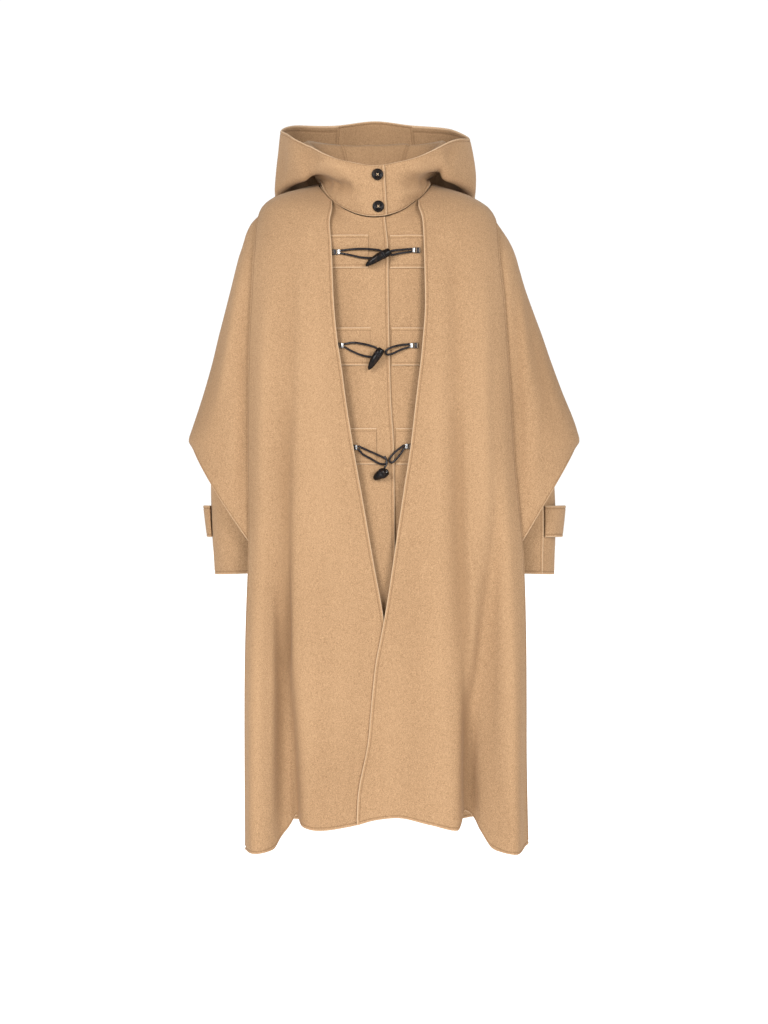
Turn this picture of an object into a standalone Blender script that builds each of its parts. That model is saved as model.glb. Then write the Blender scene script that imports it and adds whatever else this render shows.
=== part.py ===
"""Hooded cape duffle coat in double-faced wool, filled out as if worn.

The frame is +Z up, the coat's front faces -Y and the wearer's left is +X.
The origin lies between the shoulders, where the wearer carries the coat.
Sizes in the tables are millimetres; the meshes are made in metres.
"""

import bisect
import math

import bmesh
import bpy
import numpy as np

MM = 0.001

# Driving sizes
WALL = 3.0                 # double-faced wool
SEAM_GAP = 0.4             # between pieces that are sewn together
FIGURE_X = 14.0            # moves the shoulders' middle onto the origin
LAP = 4.2                  # depth between two lapped fronts, face to face
PATCH_WALL = 1.6
PATCH_LIFT = 0.9           # a patch's gap over the rounded front beneath it
CORD_RADIUS = 1.45
BUTTON_RADIUS = 10.0
ROW_STEP = 0.5             # steps for slopes: along a row's key, and in radians round it
AZIMUTH_STEP = 0.004
SHARE_STEP = 1e-3          # the same for surfaces read by shares of their length


class Table:
    """Rows of named columns, read smoothly by their first column, without overshoot."""

    def __init__(self, columns, *rows):
        ordered = sorted(rows)
        self.keys = [float(row[0]) for row in ordered]
        self.columns = {}
        self.slopes = {}
        for index, column in enumerate(columns[1:], start=1):
            values = [float(row[index]) for row in ordered]
            self.columns[column] = values
            self.slopes[column] = monotone_slopes(self.keys, values)

    def at(self, column, key):
        keys, values, slopes = self.keys, self.columns[column], self.slopes[column]
        if key <= keys[0]:
            return values[0]
        if key >= keys[-1]:
            return values[-1]
        i = bisect.bisect_right(keys, key) - 1
        step = keys[i + 1] - keys[i]
        return hermite(values[i], values[i + 1], slopes[i], slopes[i + 1], step,
                       (key - keys[i]) / step)


def monotone_slopes(keys, values):
    """Slopes that keep a cubic between its rows."""
    steps = [after - before for before, after in zip(keys, keys[1:])]
    rates = [(after - before) / step for before, after, step in zip(values, values[1:], steps)]
    slopes = [rates[0]]
    for k in range(1, len(rates)):
        before, after = rates[k - 1], rates[k]
        if before * after <= 0.0:
            slopes.append(0.0)
            continue
        weight_a = 2.0 * steps[k] + steps[k - 1]
        weight_b = steps[k] + 2.0 * steps[k - 1]
        slopes.append((weight_a + weight_b) / (weight_a / before + weight_b / after))
    slopes.append(rates[-1])
    return slopes


def rounded(keys, values, key):
    """Cubic reading that rounds through its rows, for folded profiles."""
    last = len(keys) - 1
    key = min(max(key, keys[0]), keys[last])
    i = min(bisect.bisect_right(keys, key) - 1, last - 1)

    def slope(k):
        low, high = max(k - 1, 0), min(k + 1, last)
        return (values[high] - values[low]) / (keys[high] - keys[low])

    step = keys[i + 1] - keys[i]
    return hermite(values[i], values[i + 1], slope(i), slope(i + 1), step, (key - keys[i]) / step)


def hermite(start, end, slope_start, slope_end, step, t):
    return ((2 * t ** 3 - 3 * t ** 2 + 1) * start + (t ** 3 - 2 * t ** 2 + t) * step * slope_start
            + (3 * t ** 2 - 2 * t ** 3) * end + (t ** 3 - t ** 2) * step * slope_end)


def ease(low, high, value):
    """0 at low, 1 at high, with level ends."""
    t = min(max((value - low) / (high - low), 0.0), 1.0)
    return t * t * (3.0 - 2.0 * t)


def spread(start, end, count):
    return [start + (end - start) * i / (count - 1) for i in range(count)]


# The plan of the cape at each height. side_z is the height on the shoulder line,
# edge_x is where the front panel's side edge lies, power is how square the plan is.
CAPE = Table(
    ("side_z", "front_z", "back_z", "centre_x", "edge_x", "front_y", "back_y", "power"),
    (27, -41, 38, -16, 101, 115, 80, 2.0),
    (4, -66, -6, -19, 172, 119, 92, 2.1),
    (-18, -88, -40, -15, 200, 123, 100, 2.2),
    (-43, -108, -66, -12.5, 208.5, 127, 106, 2.3),
    (-100, -142, -118, -13, 213, 132, 113, 2.6),
    (-165, -178, -172, -11, 218, 136, 118, 2.9),
    (-245, -248, -246, -10, 222.5, 139, 121, 3.2),
    (-330, -330, -330, -8, 226, 142, 124, 3.5),
    (-450, -450, -450, -5, 229.5, 146, 128, 4.0),
    (-648, -648, -648, 4, 233, 151, 136, 4.0),
    (-934, -934, -934, 5, 235, 162, 150, 4.0),
    (-1118, -1118, -1118, 8, 235, 172, 160, 4.0),
)
# How far its front and back panels' side edges lie from the shoulder line.
CAPE_SIDES = Table(
    ("side_z", "front", "back"),
    (-18, 0, 0), (-24, 9, 9), (-30, 17, 16.5), (-43, 30, 29), (-62, 44, 43), (-100, 62, 60),
    (-165, 72, 70), (-245, 77, 75), (-330, 82, 80), (-450, 87, 85), (-648, 97, 94),
    (-934, 118, 112), (-1118, 136, 128),
)
CAPE_NECK = 27.0
STRAIGHT_HEM = -930.0      # rows above this height are level
NOMINAL_HEM = -1085.0
CAPE_ROWS = [CAPE_NECK, 12.0, -4.0, -18.0, -26.0, -42.0, -64.0, -95.0, -140.0, -190.0, -255.0,
             -330.0, -420.0, -520.0, -620.0, -720.0, -810.0, -890.0, -955.0, -1010.0, -1055.0,
             NOMINAL_HEM]
CAPE_COLUMNS_FRONT = [0.0, 0.02] + spread(0.15, 0.56, 4) + spread(0.63, 0.975, 9) + [1.0]
CAPE_COLUMNS_BACK = [0.0] + spread(0.022, 0.978, 25) + [1.0]
FOLD_SIDEWAYS = 0.35       # how far folds push sideways, against outward
# Where the right front goes under the left one: heights, then x.
CAPE_UNDER_Z = (-480.0, -640.0)
CAPE_UNDER_X = (-110.0, -45.0)

# Front edges of the cape: x against height.
CAPE_EDGE_RIGHT = Table(
    ("z", "x"),
    (-24, -89), (-50, -93), (-87, -90), (-186, -85.5), (-251, -79.5), (-292, -73),
    (-352, -65), (-429, -53), (-525, -36), (-634, -17), (-716, -2), (-800, 10), (-1080, 30),
)
CAPE_EDGE_LEFT = Table(
    ("z", "x"),
    (-20, 59), (-45, 66), (-126, 69), (-186, 70), (-262, 65), (-356, 54), (-434, 45),
    (-505, 34), (-586, 22), (-706, 4), (-760, -6), (-801, -14), (-865, -21), (-933, -27),
    (-1042, -45), (-1075, -46),
)
# Hem heights of the cape: front and back, by x.
HEM_FRONT = Table(
    ("x", "z"),
    (-240, -1113), (-227, -1121), (-199, -1126), (-181, -1117), (-170, -1085), (-160, -1062),
    (-145, -1078), (-110, -1085), (-53, -1078), (-13, -1068), (24, -1064), (77, -1075),
    (124, -1085), (138, -1072), (152, -1055), (166, -1085), (178, -1115), (207, -1128),
    (240, -1112),
)
HEM_BACK = Table(
    ("x", "z"),
    (-240, -1108), (-205, -1118), (-165, -1098), (-120, -1104), (-60, -1090), (-5, -1098),
    (60, -1088), (125, -1102), (165, -1094), (208, -1120), (240, -1110),
)
# Soft folds that fall to the hem: depth is outward, negative into the body.
FRONT_FOLDS = Table(
    ("hem_x", "top_x", "top_z", "width", "depth"),
    (-205, -222, -420, 24, 34), (-161, -204, -390, 17, -32), (-100, -110, -760, 34, 8),
    (-20, -40, -820, 30, -5), (60, 70, -800, 30, 7), (110, 120, -740, 26, 9),
    (152, 196, -430, 17, -32), (207, 226, -420, 24, 34),
)
BACK_FOLDS = Table(
    ("hem_x", "top_x", "top_z", "width", "depth"),
    (-206, -222, -420, 30, 20), (-152, -180, -400, 26, -16), (-95, -80, -500, 32, 16),
    (-40, -30, -560, 24, -14), (12, 8, -430, 30, 18), (68, 55, -600, 24, -15),
    (112, 100, -520, 26, 12), (154, 182, -400, 26, -16), (208, 224, -420, 30, 20),
)

# The plan of the coat under the cape; edge_x is its half width on the shoulder line.
COAT = Table(
    ("side_z", "front_z", "back_z", "centre_x", "edge_x", "front_y", "back_y", "power"),
    (26.2, -41.8, 37.2, -16, 97.4, 111.4, 76.4, 2.0),
    (19, -49, 29, -16, 98, 111.6, 77, 2.0),
    (-4, -74, -16, -17, 162, 113, 86, 2.1),
    (-28, -94, -48, -14, 188, 116, 93, 2.2),
    (-100, -140, -118, -13, 189, 120, 102, 2.3),
    (-165, -178, -170, -11, 182, 123, 106, 2.4),
    (-215, -217, -216, -10, 176, 125, 108, 2.4),
    (-330, -330, -330, -8, 172, 127, 109, 2.4),
    (-450, -450, -450, -5, 173, 129, 111, 2.4),
    (-700, -700, -700, 4, 181, 134, 119, 2.4),
    (-1030, -1030, -1030, 8, 198, 141, 130, 2.4),
)
COAT_NECK = 26.2
COAT_HEM = -1030.0
ARMHOLE_TOP = -28.0
ARMHOLE_BOTTOM = -215.0
ARMHOLE_MIDDLE = (ARMHOLE_TOP + ARMHOLE_BOTTOM) / 2.0
ARMHOLE_HALF = (ARMHOLE_TOP - ARMHOLE_BOTTOM) / 2.0
ARMHOLE_ANGLE = math.radians(22.0)
SLEEVE_COLUMNS = 20
# The coat's rows meet the sleeve's columns all round the armhole.
COAT_ROWS = ([COAT_NECK, 19.0, 6.0, -12.0]
             + [ARMHOLE_MIDDLE + ARMHOLE_HALF * math.cos(2.0 * math.pi * k / SLEEVE_COLUMNS)
                for k in range(SLEEVE_COLUMNS // 2 + 1)]
             + [-300.0, -430.0, -600.0, -800.0, COAT_HEM])
# The lapping front's edge, and the hidden edge of the front beneath it.
COAT_LAP = Table(
    ("z", "x"),
    (-44, 2), (-95, 7), (-185, 8), (-352, 12), (-434, 17), (-587, 19), (-800, 24), (-1030, 30),
)
UNDERLAP = 62.0
LAP_RISE = (1.0, 40.0)     # past the lap's edge, where the front beneath comes back out

# Sleeve rings: the ring's outer and inner ends in the coronal plane, and its half depth.
SLEEVE = Table(
    ("along", "centre_x", "outer_x", "outer_z", "inner_x", "inner_z", "depth"),
    (0.00, -13, 190, -28, 177, -215, 52),
    (0.10, -13, 212, -68, 187, -236, 54),
    (0.22, -12, 237, -136, 184, -266, 58),
    (0.36, -9, 272, -240, 182, -318, 60),
    (0.50, -7, 293, -340, 182, -385, 60),
    (0.66, -4, 299, -445, 186, -460, 60),
    (0.82, -1, 301, -545, 187, -548, 58),
    (1.00, 1, 297, -655, 187, -651, 56),
)
SLEEVE_SETTLED = 0.34      # where the armhole's own shape has died away
UNDERARM_GAP = 2.0
STRAP_TOP = 0.803          # the cuff strap's place along the sleeve
STRAP_BOTTOM = 0.893
STRAP_ENDS = {-1: (-0.22, 0.045), 1: (-0.2, 0.15)}   # shares of the way round the sleeve
STRAP_STAND_TOP = 15.0     # how far the loop stands off, at its two edges
STRAP_STAND_BOTTOM = 9.0
STRAP_ROUND = 0.7
SLEEVE_ROWS = [0.0, 0.07, 0.14, 0.21, 0.29, 0.37, 0.5, 0.66, 0.82, 0.97, 1.0]

# Wings over the arms: their outline from the front.
WING = Table(
    ("z", "centre_x", "outer_x"),
    (-16, -15, 189), (-22, -16, 196), (-30, -16.5, 205), (-42, -17, 215.5), (-90, -11, 237),
    (-158, -9.5, 259),
    (-240, -7, 285), (-330, -3, 315), (-402, 0, 338), (-420, 0, 342), (-436, 0, 338),
)
WING_TOP = -14.0
WING_CAP = 34.0            # its top edge falls this far to its tucked edges
WING_CAP_WIDTH = 16.0      # least half width of its top, under the shoulder's end
WING_CORNER = -424.0
WING_DROP = 180.0          # from the corner down to the hidden end of its hem
WING_ROUND = 0.85
WING_TUCK = math.radians(5.0)
WING_OVAL_Z = (-50.0, -150.0)   # its plan turns from a pointed arch to an oval here
WING_GAP = Table(("side_z", "gap"), (-16, 0.9), (-40, 1.3), (-60, 2.2), (-600, 2.8))
TUCK_SHARE = 0.14          # share of each half of the wing that is tucked

# Hood rings by azimuth from the front: half width from its middle line, depth and height.
# The last rows lie past the middle of the back, so that the rings cross it level.
HOOD_X = -16.0
HOOD_STAND = Table(
    ("azimuth", "x", "y", "z"),
    (50, 82, -64, 60), (70, 104, -30, 84), (90, 121, 12, 102), (120, 108, 72, 108),
    (150, 62, 98, 106), (180, 0, 106, 106), (210, -62, 98, 106),
)
HOOD_INNER = Table(
    ("azimuth", "x", "y", "z"),
    (50, 88, -72, 42), (70, 115, -39, 50), (90, 144, 18, 36), (120, 131, 92, 8),
    (150, 70, 124, -6), (180, 0, 131, -8), (210, -70, 124, -6),
)
HOOD_BOTTOM = Table(
    ("azimuth", "x", "y", "z"),
    (50, 92, -76, 29), (70, 125, -43, 27), (90, 161, 24, 11), (120, 155, 112, -30),
    (150, 78, 156, -47), (180, 0, 164, -50), (210, -78, 156, -47),
)
HOOD_OUTER = Table(
    ("azimuth", "x", "y", "z"),
    (50, 98, -80, 35), (70, 137, -47, 34), (90, 177, 28, 17), (120, 172, 128, -14),
    (150, 84, 190, -26), (180, 0, 198, -28), (210, -84, 190, -26),
)
HOOD_RIM = Table(
    ("azimuth", "x", "y", "z"),
    (-30, -48, -117, 54), (0, 0, -122, 46), (30, 48, -117, 54), (45, 81, -106, 65), (60, 119, -80, 86),
    (75, 148, -34, 106), (90, 166, 30, 119), (120, 138, 102, 141), (150, 66, 150, 151),
    (180, 0, 170, 161), (210, -66, 150, 151),
)
HOOD_PLACES = [0.0, 0.26, 0.46, 0.56, 0.66, 1.0]
HOOD_SPACE = {-1: (38.0, 62.0), 1: (40.0, 64.0)}   # the pouch widens between these azimuths
HOOD_FOLD = {-1: (43.0, 66.0), 1: (46.0, 70.0)}    # and sinks to its full depth between these
HOOD_TILT = -0.042         # its right corner stands higher than its left
HOOD_SEAM_AZIMUTH = 150.0
HOOD_SEAM_GAP = 0.1        # half the gap at that seam, in degrees
HOOD_LAP_X = 22.0          # the buttoned edge, past the hood's middle line
HOOD_UNDERLAP_X = -16.0
HOOD_NECK_DEPTH = 115.0    # how far the buttoned front lies before the hood's middle
HOOD_LAP_RISE = (12.0, 30.0)
HOOD_FRONT_Z = (-41.0, 47.0)
HOOD_ROWS = [0.0, 0.11, 0.22, 0.3, 0.36, 0.41, 0.46, 0.52, 0.59, 0.65, 0.7, 0.75, 0.83, 0.92, 1.0]
HOOD_COLUMNS = [0.0, 0.02] + spread(0.12, 0.34, 3) + spread(0.4, 0.62, 5) + spread(0.7, 1.0, 4)

# Toggle rows: heights of the patches, then where the loops and tabs lie.
TOGGLE_ROWS = Table(
    ("row", "patch_top", "patch_bottom", "right_near", "right_far",
     "tab_right_x", "tab_right_z", "tab_left_x", "tab_left_z"),
    (1, -72, -129, -27, -99, -83, -102, 57, -99),
    (2, -231, -296, -23, -92, -77, -262, 53, -262),
    (3, -403, -465, -13, -68, -54, -436, 46, -434),
)
LEFT_PATCH_INSET = 3.5     # from the lap's edge to the left patches
LEFT_PATCH_WIDTH = 66.0
TAB_SIZE = (9.0, 9.5, 2.0)
CLASP_SIZE = (4.0, 8.5, 3.6)
CLASP_OFFSET = 6.9         # between the middles of tab and clasp
PLATE_BEVEL = 0.35
# Cord routes as x, z and the distance out from the coat front, all chosen by eye.
LOOP_ROUTES = {
    1: ((-73.4, -99.6, 4.8), (-45, -97.5, 6.5), (-14, -98.5, 5.5), (-3, -102, 5.2), (-5, -109, 5.2),
        (-18, -112.5, 5.4), (-38, -112, 6.0), (-60, -107, 5.6), (-73.4, -104.4, 4.8)),
    2: ((-66.8, -259.6, 4.8), (-52, -257.5, 6.5), (-34, -260, 6.5), (-14, -266, 5.2), (-8, -274, 5.2),
        (-17, -281, 5.2), (-34, -280, 6.0), (-54, -272, 5.6), (-66.8, -264.4, 4.8)),
    3: ((-43.6, -433.6, 4.8), (-28, -441, 6.5), (-8, -450, 6.0), (4, -457, 5.4), (2, -464, 5.2),
        (-8, -463.5, 5.4), (-22, -455.5, 6.0), (-36, -447.5, 5.6), (-43.6, -438.4, 4.8)),
}
CORD_ROUTES = {
    1: ((47.4, -96.6, 4.8), (30, -98.5, 7.0), (14, -100, 7.0), (5.5, -103.5, 5.4), (12, -107, 6.6),
        (28, -104.5, 7.0), (47.4, -101.4, 4.8)),
    2: ((43.4, -259.6, 4.8), (26, -262, 7.0), (10, -266.5, 7.5), (3, -272, 6.4), (5, -277.5, 6.4),
        (15, -276, 7.5), (28, -270, 7.0), (43.4, -264.4, 4.8)),
    3: ((35.6, -431.6, 4.8), (24, -440, 7.0), (13, -450, 7.5), (9, -457.5, 6.4), (12.5, -462, 6.4),
        (19, -458, 7.5), (28, -448, 7.0), (35.6, -436.4, 4.8)),
}
# Toggles: butt and tip as x, z and distance out, then the butt's radius.
TOGGLES = {
    1: ((10, -102.5, 12.3), (-31, -127, 10.8), 6.6),
    2: ((-4, -269, 12.8), (-26, -304, 10.8), 6.6),
    3: ((4, -478, 17.2), (-17, -490, 1.7), 7.6),
}
TOGGLE_BEND = (0.0, -1.8, 1.4)
# Share of the toggle's length, and share of the butt's radius there.
TOGGLE_SHAPE = ((0.0, 0.62), (0.03, 0.9), (0.12, 1.0), (0.3, 0.98), (0.5, 0.9), (0.7, 0.74),
                (0.85, 0.56), (0.95, 0.4), (1.0, 0.2))
CORD_SIDES = 6
LOOP_POINTS = 18
CORD_POINTS = 14
TOGGLE_SIDES = 12
BUTTON_SIDES = 16
# Button rings from the sunk middle over the rim to its back: radius and height.
BUTTON_SHAPE = ((5.2, 2.6), (6.2, 3.3), (8.6, 3.6), (9.7, 3.0), (BUTTON_RADIUS, 1.9), (9.2, 0.4))
HOOD_BUTTONS = {"upper": (-10.0, 31.0, 0.7), "lower": (-9.4, -24.0, -0.3)}   # x, z and lift


def corner(table, row_key, back):
    """Half width, depth and squareness of a plan row on one side of its middle."""
    depth = table.at("back_y" if back else "front_y", row_key)
    power = table.at("power", row_key)
    half_width = table.at("edge_x", row_key)
    if table is CAPE:
        share = CAPE_SIDES.at("front", row_key) / table.at("front_y", row_key)
        half_width = half_width / (1.0 - share ** power) ** (1.0 / power)
    return half_width, depth, power


def plan_point(table, row_key, azimuth):
    """Point of a plan row; azimuth 0 is the front, +90 degrees the wearer's left."""
    back = math.cos(azimuth) < 0.0
    half_width, depth, power = corner(table, row_key, back)
    across = abs(math.sin(azimuth)) / half_width
    along = abs(math.cos(azimuth)) / depth
    radius = (across ** power + along ** power) ** (-1.0 / power)
    end_z = table.at("back_z" if back else "front_z", row_key)
    z = row_key + (end_z - row_key) * math.cos(azimuth) ** 2
    x = table.at("centre_x", row_key) + radius * math.sin(azimuth)
    return np.array((x, -radius * math.cos(azimuth), z))


def azimuth_of_x(table, row_key, x):
    """Azimuth of the front point with this x."""
    half_width, depth, power = corner(table, row_key, False)
    offset = x - table.at("centre_x", row_key)
    share = min(abs(offset) / half_width, 0.999)
    y = depth * (1.0 - share ** power) ** (1.0 / power)
    return math.atan2(offset, y)


def azimuth_of_edge(row_key, back, least=0.0):
    """Azimuth of the cape's side edge, front or back, from the middle of that side."""
    half_width, depth, power = corner(CAPE, row_key, back)
    edge_y = max(CAPE_SIDES.at("back" if back else "front", row_key), least)
    x = half_width * (1.0 - (edge_y / depth) ** power) ** (1.0 / power)
    return math.atan2(x, edge_y)


def edge_azimuth_by_height(table, outline, row_key):
    """Azimuth where a row meets a front edge whose x is given by height."""
    azimuth = azimuth_of_x(table, row_key, outline.at("x", row_key))
    for _ in range(4):
        height = plan_point(table, row_key, azimuth)[2]
        azimuth = azimuth_of_x(table, row_key, outline.at("x", height))
    return azimuth


def folds(table, x, z):
    """Outward depth of the soft folds at a place on the cape."""
    total = 0.0
    for i, hem_x in enumerate(table.keys):
        top_x = table.columns["top_x"][i]
        top_z = table.columns["top_z"][i]
        width = table.columns["width"][i]
        fall = ease(top_z, NOMINAL_HEM, z)
        middle = top_x + (hem_x - top_x) * fall
        total += table.columns["depth"][i] * fall * math.exp(-((x - middle) / width) ** 2)
    return total


def cape_point(row_key, azimuth):
    """Point on the cape's outer face, with its folds and its waved hem."""
    back = math.cos(azimuth) < 0.0
    key = row_key
    if row_key < STRAIGHT_HEM:
        x = plan_point(CAPE, NOMINAL_HEM, azimuth)[0]
        hem = (HEM_BACK if back else HEM_FRONT).at("z", x)
        key = STRAIGHT_HEM + (row_key - STRAIGHT_HEM) * (hem - STRAIGHT_HEM) / (NOMINAL_HEM - STRAIGHT_HEM)
    point = plan_point(CAPE, key, azimuth)
    depth = folds(BACK_FOLDS if back else FRONT_FOLDS, point[0], max(key, NOMINAL_HEM))
    middle = CAPE.at("centre_x", key)
    outward = np.array((FOLD_SIDEWAYS * (point[0] - middle), point[1], 0.0))
    return point + outward / np.linalg.norm(outward) * depth


def normal_of(point, a, b, step_a, step_b):
    """Unit normal of a surface given as points by a and b, on the side of b cross a."""
    along_a = point(a + step_a, b) - point(a - step_a, b)
    along_b = point(a, b + step_b) - point(a, b - step_b)
    normal = np.cross(along_b, along_a)
    return normal / np.linalg.norm(normal)


def row_normal(point, row_key, azimuth):
    """Outward normal of a row surface, such as the cape or the coat."""
    return normal_of(point, row_key, azimuth, ROW_STEP, AZIMUTH_STEP)


def make_material(name, colour, roughness, metallic=0.0):
    material = bpy.data.materials.new(name)
    material.use_nodes = True
    shader = material.node_tree.nodes["Principled BSDF"]
    shader.inputs["Base Color"].default_value = (*colour, 1.0)
    shader.inputs["Roughness"].default_value = roughness
    shader.inputs["Metallic"].default_value = metallic
    material.diffuse_color = (*colour, 1.0)
    return material


def add_object(name, vertices, faces, material, smooth_angle=40.0):
    """Mesh object from millimetre points, with its faces turned outward."""
    mesh = bpy.data.meshes.new(name)
    shifted = [((x + FIGURE_X) * MM, y * MM, z * MM) for x, y, z in vertices]
    mesh.from_pydata(shifted, [], faces)
    work = bmesh.new()
    work.from_mesh(mesh)
    bmesh.ops.recalc_face_normals(work, faces=work.faces)
    work.to_mesh(mesh)
    work.free()
    mesh.shade_smooth()
    mesh.set_sharp_from_angle(angle=math.radians(smooth_angle))
    mesh.materials.append(material)
    item = bpy.data.objects.new(name, mesh)
    bpy.context.scene.collection.objects.link(item)
    return item


def shell(name, surface, places_u, places_v, wall, material, closed=False):
    """Cloth wall: an outer sheet, the same sheet moved in, and rims between them.

    surface gives the point and its outward normal at u and v.
    """
    count_u, count_v = len(places_u), len(places_v)
    outer, inner = [], []
    for v in places_v:
        for u in places_u:
            point, normal = surface(u, v)
            outer.append(point)
            inner.append(point - normal * wall)
    vertices = outer + inner
    under = len(outer)
    faces = []
    columns = count_u if closed else count_u - 1
    for j in range(count_v - 1):
        for i in range(columns):
            a, b = j * count_u + i, j * count_u + (i + 1) % count_u
            c, d = b + count_u, a + count_u
            for corners in short_split(outer, a, b, c, d):
                faces.append(corners)
                faces.append(tuple(under + corner_index for corner_index in reversed(corners)))
    for i in range(columns):
        for j in (0, count_v - 1):
            a, b = j * count_u + i, j * count_u + (i + 1) % count_u
            faces.append((a, b, under + b, under + a))
    if not closed:
        for j in range(count_v - 1):
            for i in (0, count_u - 1):
                a, b = j * count_u + i, (j + 1) * count_u + i
                faces.append((a, b, under + b, under + a))
    return add_object(name, vertices, faces, material)


def short_split(points, a, b, c, d):
    """Two triangles of a cell, split along its shorter diagonal."""
    if np.linalg.norm(points[a] - points[c]) <= np.linalg.norm(points[b] - points[d]):
        return (a, b, c), (a, c, d)
    return (a, b, d), (b, c, d)


def cape_front(side, material):
    """A long front panel, from the neck and shoulder to the hem."""
    outline = CAPE_EDGE_LEFT if side > 0 else CAPE_EDGE_RIGHT

    def surface(u, v):
        row_key = row_at(CAPE_ROWS, v)
        inner = edge_azimuth_by_height(CAPE, outline, row_key)
        outer = side * (azimuth_of_edge(row_key, False) - edge_gap(row_key))
        azimuth = inner + (outer - inner) * u
        point = cape_point(row_key, azimuth)
        normal = row_normal(cape_point, row_key, azimuth)
        if side < 0:
            under = ease(*CAPE_UNDER_Z, point[2]) * ease(*CAPE_UNDER_X, point[0])
            point = point - normal * LAP * under
        return point, normal

    name = "cape_front_left" if side > 0 else "cape_front_right"
    places_v = spread(0.0, 1.0, len(CAPE_ROWS))
    return shell(name, surface, CAPE_COLUMNS_FRONT, places_v, WALL, material)


def row_at(rows, v):
    """Row height at a share of the rows."""
    return float(np.interp(v * (len(rows) - 1), range(len(rows)), rows))


def edge_gap(row_key):
    """Half the seam between front and back along the shoulder, as an angle."""
    return SEAM_GAP / CAPE.at("edge_x", row_key)


def cape_back(material):
    """The long back panel."""
    def surface(u, v):
        row_key = row_at(CAPE_ROWS, v)
        reach = azimuth_of_edge(row_key, True) - edge_gap(row_key)
        azimuth = math.pi + reach * (2.0 * u - 1.0)
        return cape_point(row_key, azimuth), row_normal(cape_point, row_key, azimuth)

    places_v = spread(0.0, 1.0, len(CAPE_ROWS))
    return shell("cape_back", surface, CAPE_COLUMNS_BACK, places_v, WALL, material)


def tucked_point(side, row_key, back, step):
    """Point under a cape panel, a step in from the panel's side edge."""
    reach = azimuth_of_edge(row_key, back, WING_CAP_WIDTH) - step
    azimuth = side * (math.pi - reach if back else reach)
    point = cape_point(row_key, azimuth)
    gap = WING_GAP.at("gap", row_key)
    return point - row_normal(cape_point, row_key, azimuth) * (WALL + gap)


def wing_point(side, u, v):
    """Point of a wing: u runs from its tucked front edge over the arm to its back edge."""
    back = u > 0.5
    share = 1.0 - abs(2.0 * u - 1.0)
    psi = 0.5 * math.pi * max(share - TUCK_SHARE, 0.0) / (1.0 - TUCK_SHARE)
    low = 1.0 - math.sin(psi)
    top = WING_TOP - WING_CAP * low
    hem = WING_CORNER - WING_DROP * low ** WING_ROUND
    row_key = top + (hem - top) * v
    if share < TUCK_SHARE:
        return tucked_point(side, row_key, back, WING_TUCK * (1.0 - share / TUCK_SHARE))
    edge = tucked_point(side, row_key, back, 0.0)
    outer_x = WING.at("centre_x", row_key) + side * WING.at("outer_x", row_key)
    wide = ease(*WING_OVAL_Z, row_key)
    t = psi / (0.5 * math.pi)
    x = edge[0] + (outer_x - edge[0]) * (math.sin(psi) * wide + t * (2.0 - t) * (1.0 - wide))
    y = edge[1] * (math.cos(psi) * wide + (1.0 - t) * (1.0 - wide))
    z = edge[2] + (row_key - edge[2]) * math.sin(psi) ** 2
    return np.array((x, y, z))


def cape_wing(side, material):
    """A wing of the cape, its edges tucked under the front and back panels."""
    def surface(u, v):
        def point(a, b):
            return wing_point(side, min(max(a, 0.0), 1.0), min(max(b, 0.0), 1.0))

        return point(u, v), normal_of(point, u, v, SHARE_STEP, SHARE_STEP) * side

    half = [0.0, TUCK_SHARE / 2.0] + [0.5 * share for share in spread(0.24, 1.0, 6)]
    places_u = half + [1.0 - place for place in reversed(half[:-1])]
    name = "cape_wing_left" if side > 0 else "cape_wing_right"
    return shell(name, surface, places_u, spread(0.0, 1.0, 11), WALL, material)


def armhole(row_key):
    """Angle that the armhole takes from the coat's side at a height."""
    place = (row_key - ARMHOLE_MIDDLE) / ARMHOLE_HALF
    if abs(place) >= 1.0:
        return 0.0
    return ARMHOLE_ANGLE * math.sqrt(1.0 - place * place)


def coat_gap(row_key):
    return SEAM_GAP / COAT.at("edge_x", row_key)


def coat_face(side, row_key, azimuth):
    """Point and normal of a coat front; the left one lies under the right one's lap."""
    point = plan_point(COAT, row_key, azimuth)
    normal = row_normal(coat_point, row_key, azimuth)
    if side > 0:
        past_edge = point[0] - COAT_LAP.at("x", point[2])
        point = point - normal * LAP * (1.0 - ease(*LAP_RISE, past_edge))
    return point, normal


def coat_point(row_key, azimuth):
    return plan_point(COAT, row_key, azimuth)


def coat_front(side, material):
    """A coat front, from its front edge to its side seam and armhole."""
    def surface(u, v):
        row_key = row_at(COAT_ROWS, v)
        outer = side * (0.5 * math.pi - armhole(row_key) - coat_gap(row_key))
        if side < 0:
            inner = edge_azimuth_by_height(COAT, COAT_LAP, row_key)
        else:
            inner = azimuth_of_x(COAT, row_key, COAT_LAP.at("x", row_key) - UNDERLAP)
        return coat_face(side, row_key, inner + (outer - inner) * u)

    places_u = spread(0.0, 1.0, 12)
    places_v = spread(0.0, 1.0, len(COAT_ROWS))
    name = "coat_front_left" if side > 0 else "coat_front_right"
    return shell(name, surface, places_u, places_v, WALL, material)


def coat_back(material):
    """The coat's back, under the cape."""
    def surface(u, v):
        row_key = row_at(COAT_ROWS, v)
        reach = 0.5 * math.pi - armhole(row_key) - coat_gap(row_key)
        azimuth = math.pi + reach * (2.0 * u - 1.0)
        return coat_point(row_key, azimuth), row_normal(coat_point, row_key, azimuth)

    places_v = spread(0.0, 1.0, len(COAT_ROWS))
    return shell("coat_back", surface, spread(0.0, 1.0, 13), places_v, WALL, material)


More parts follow.
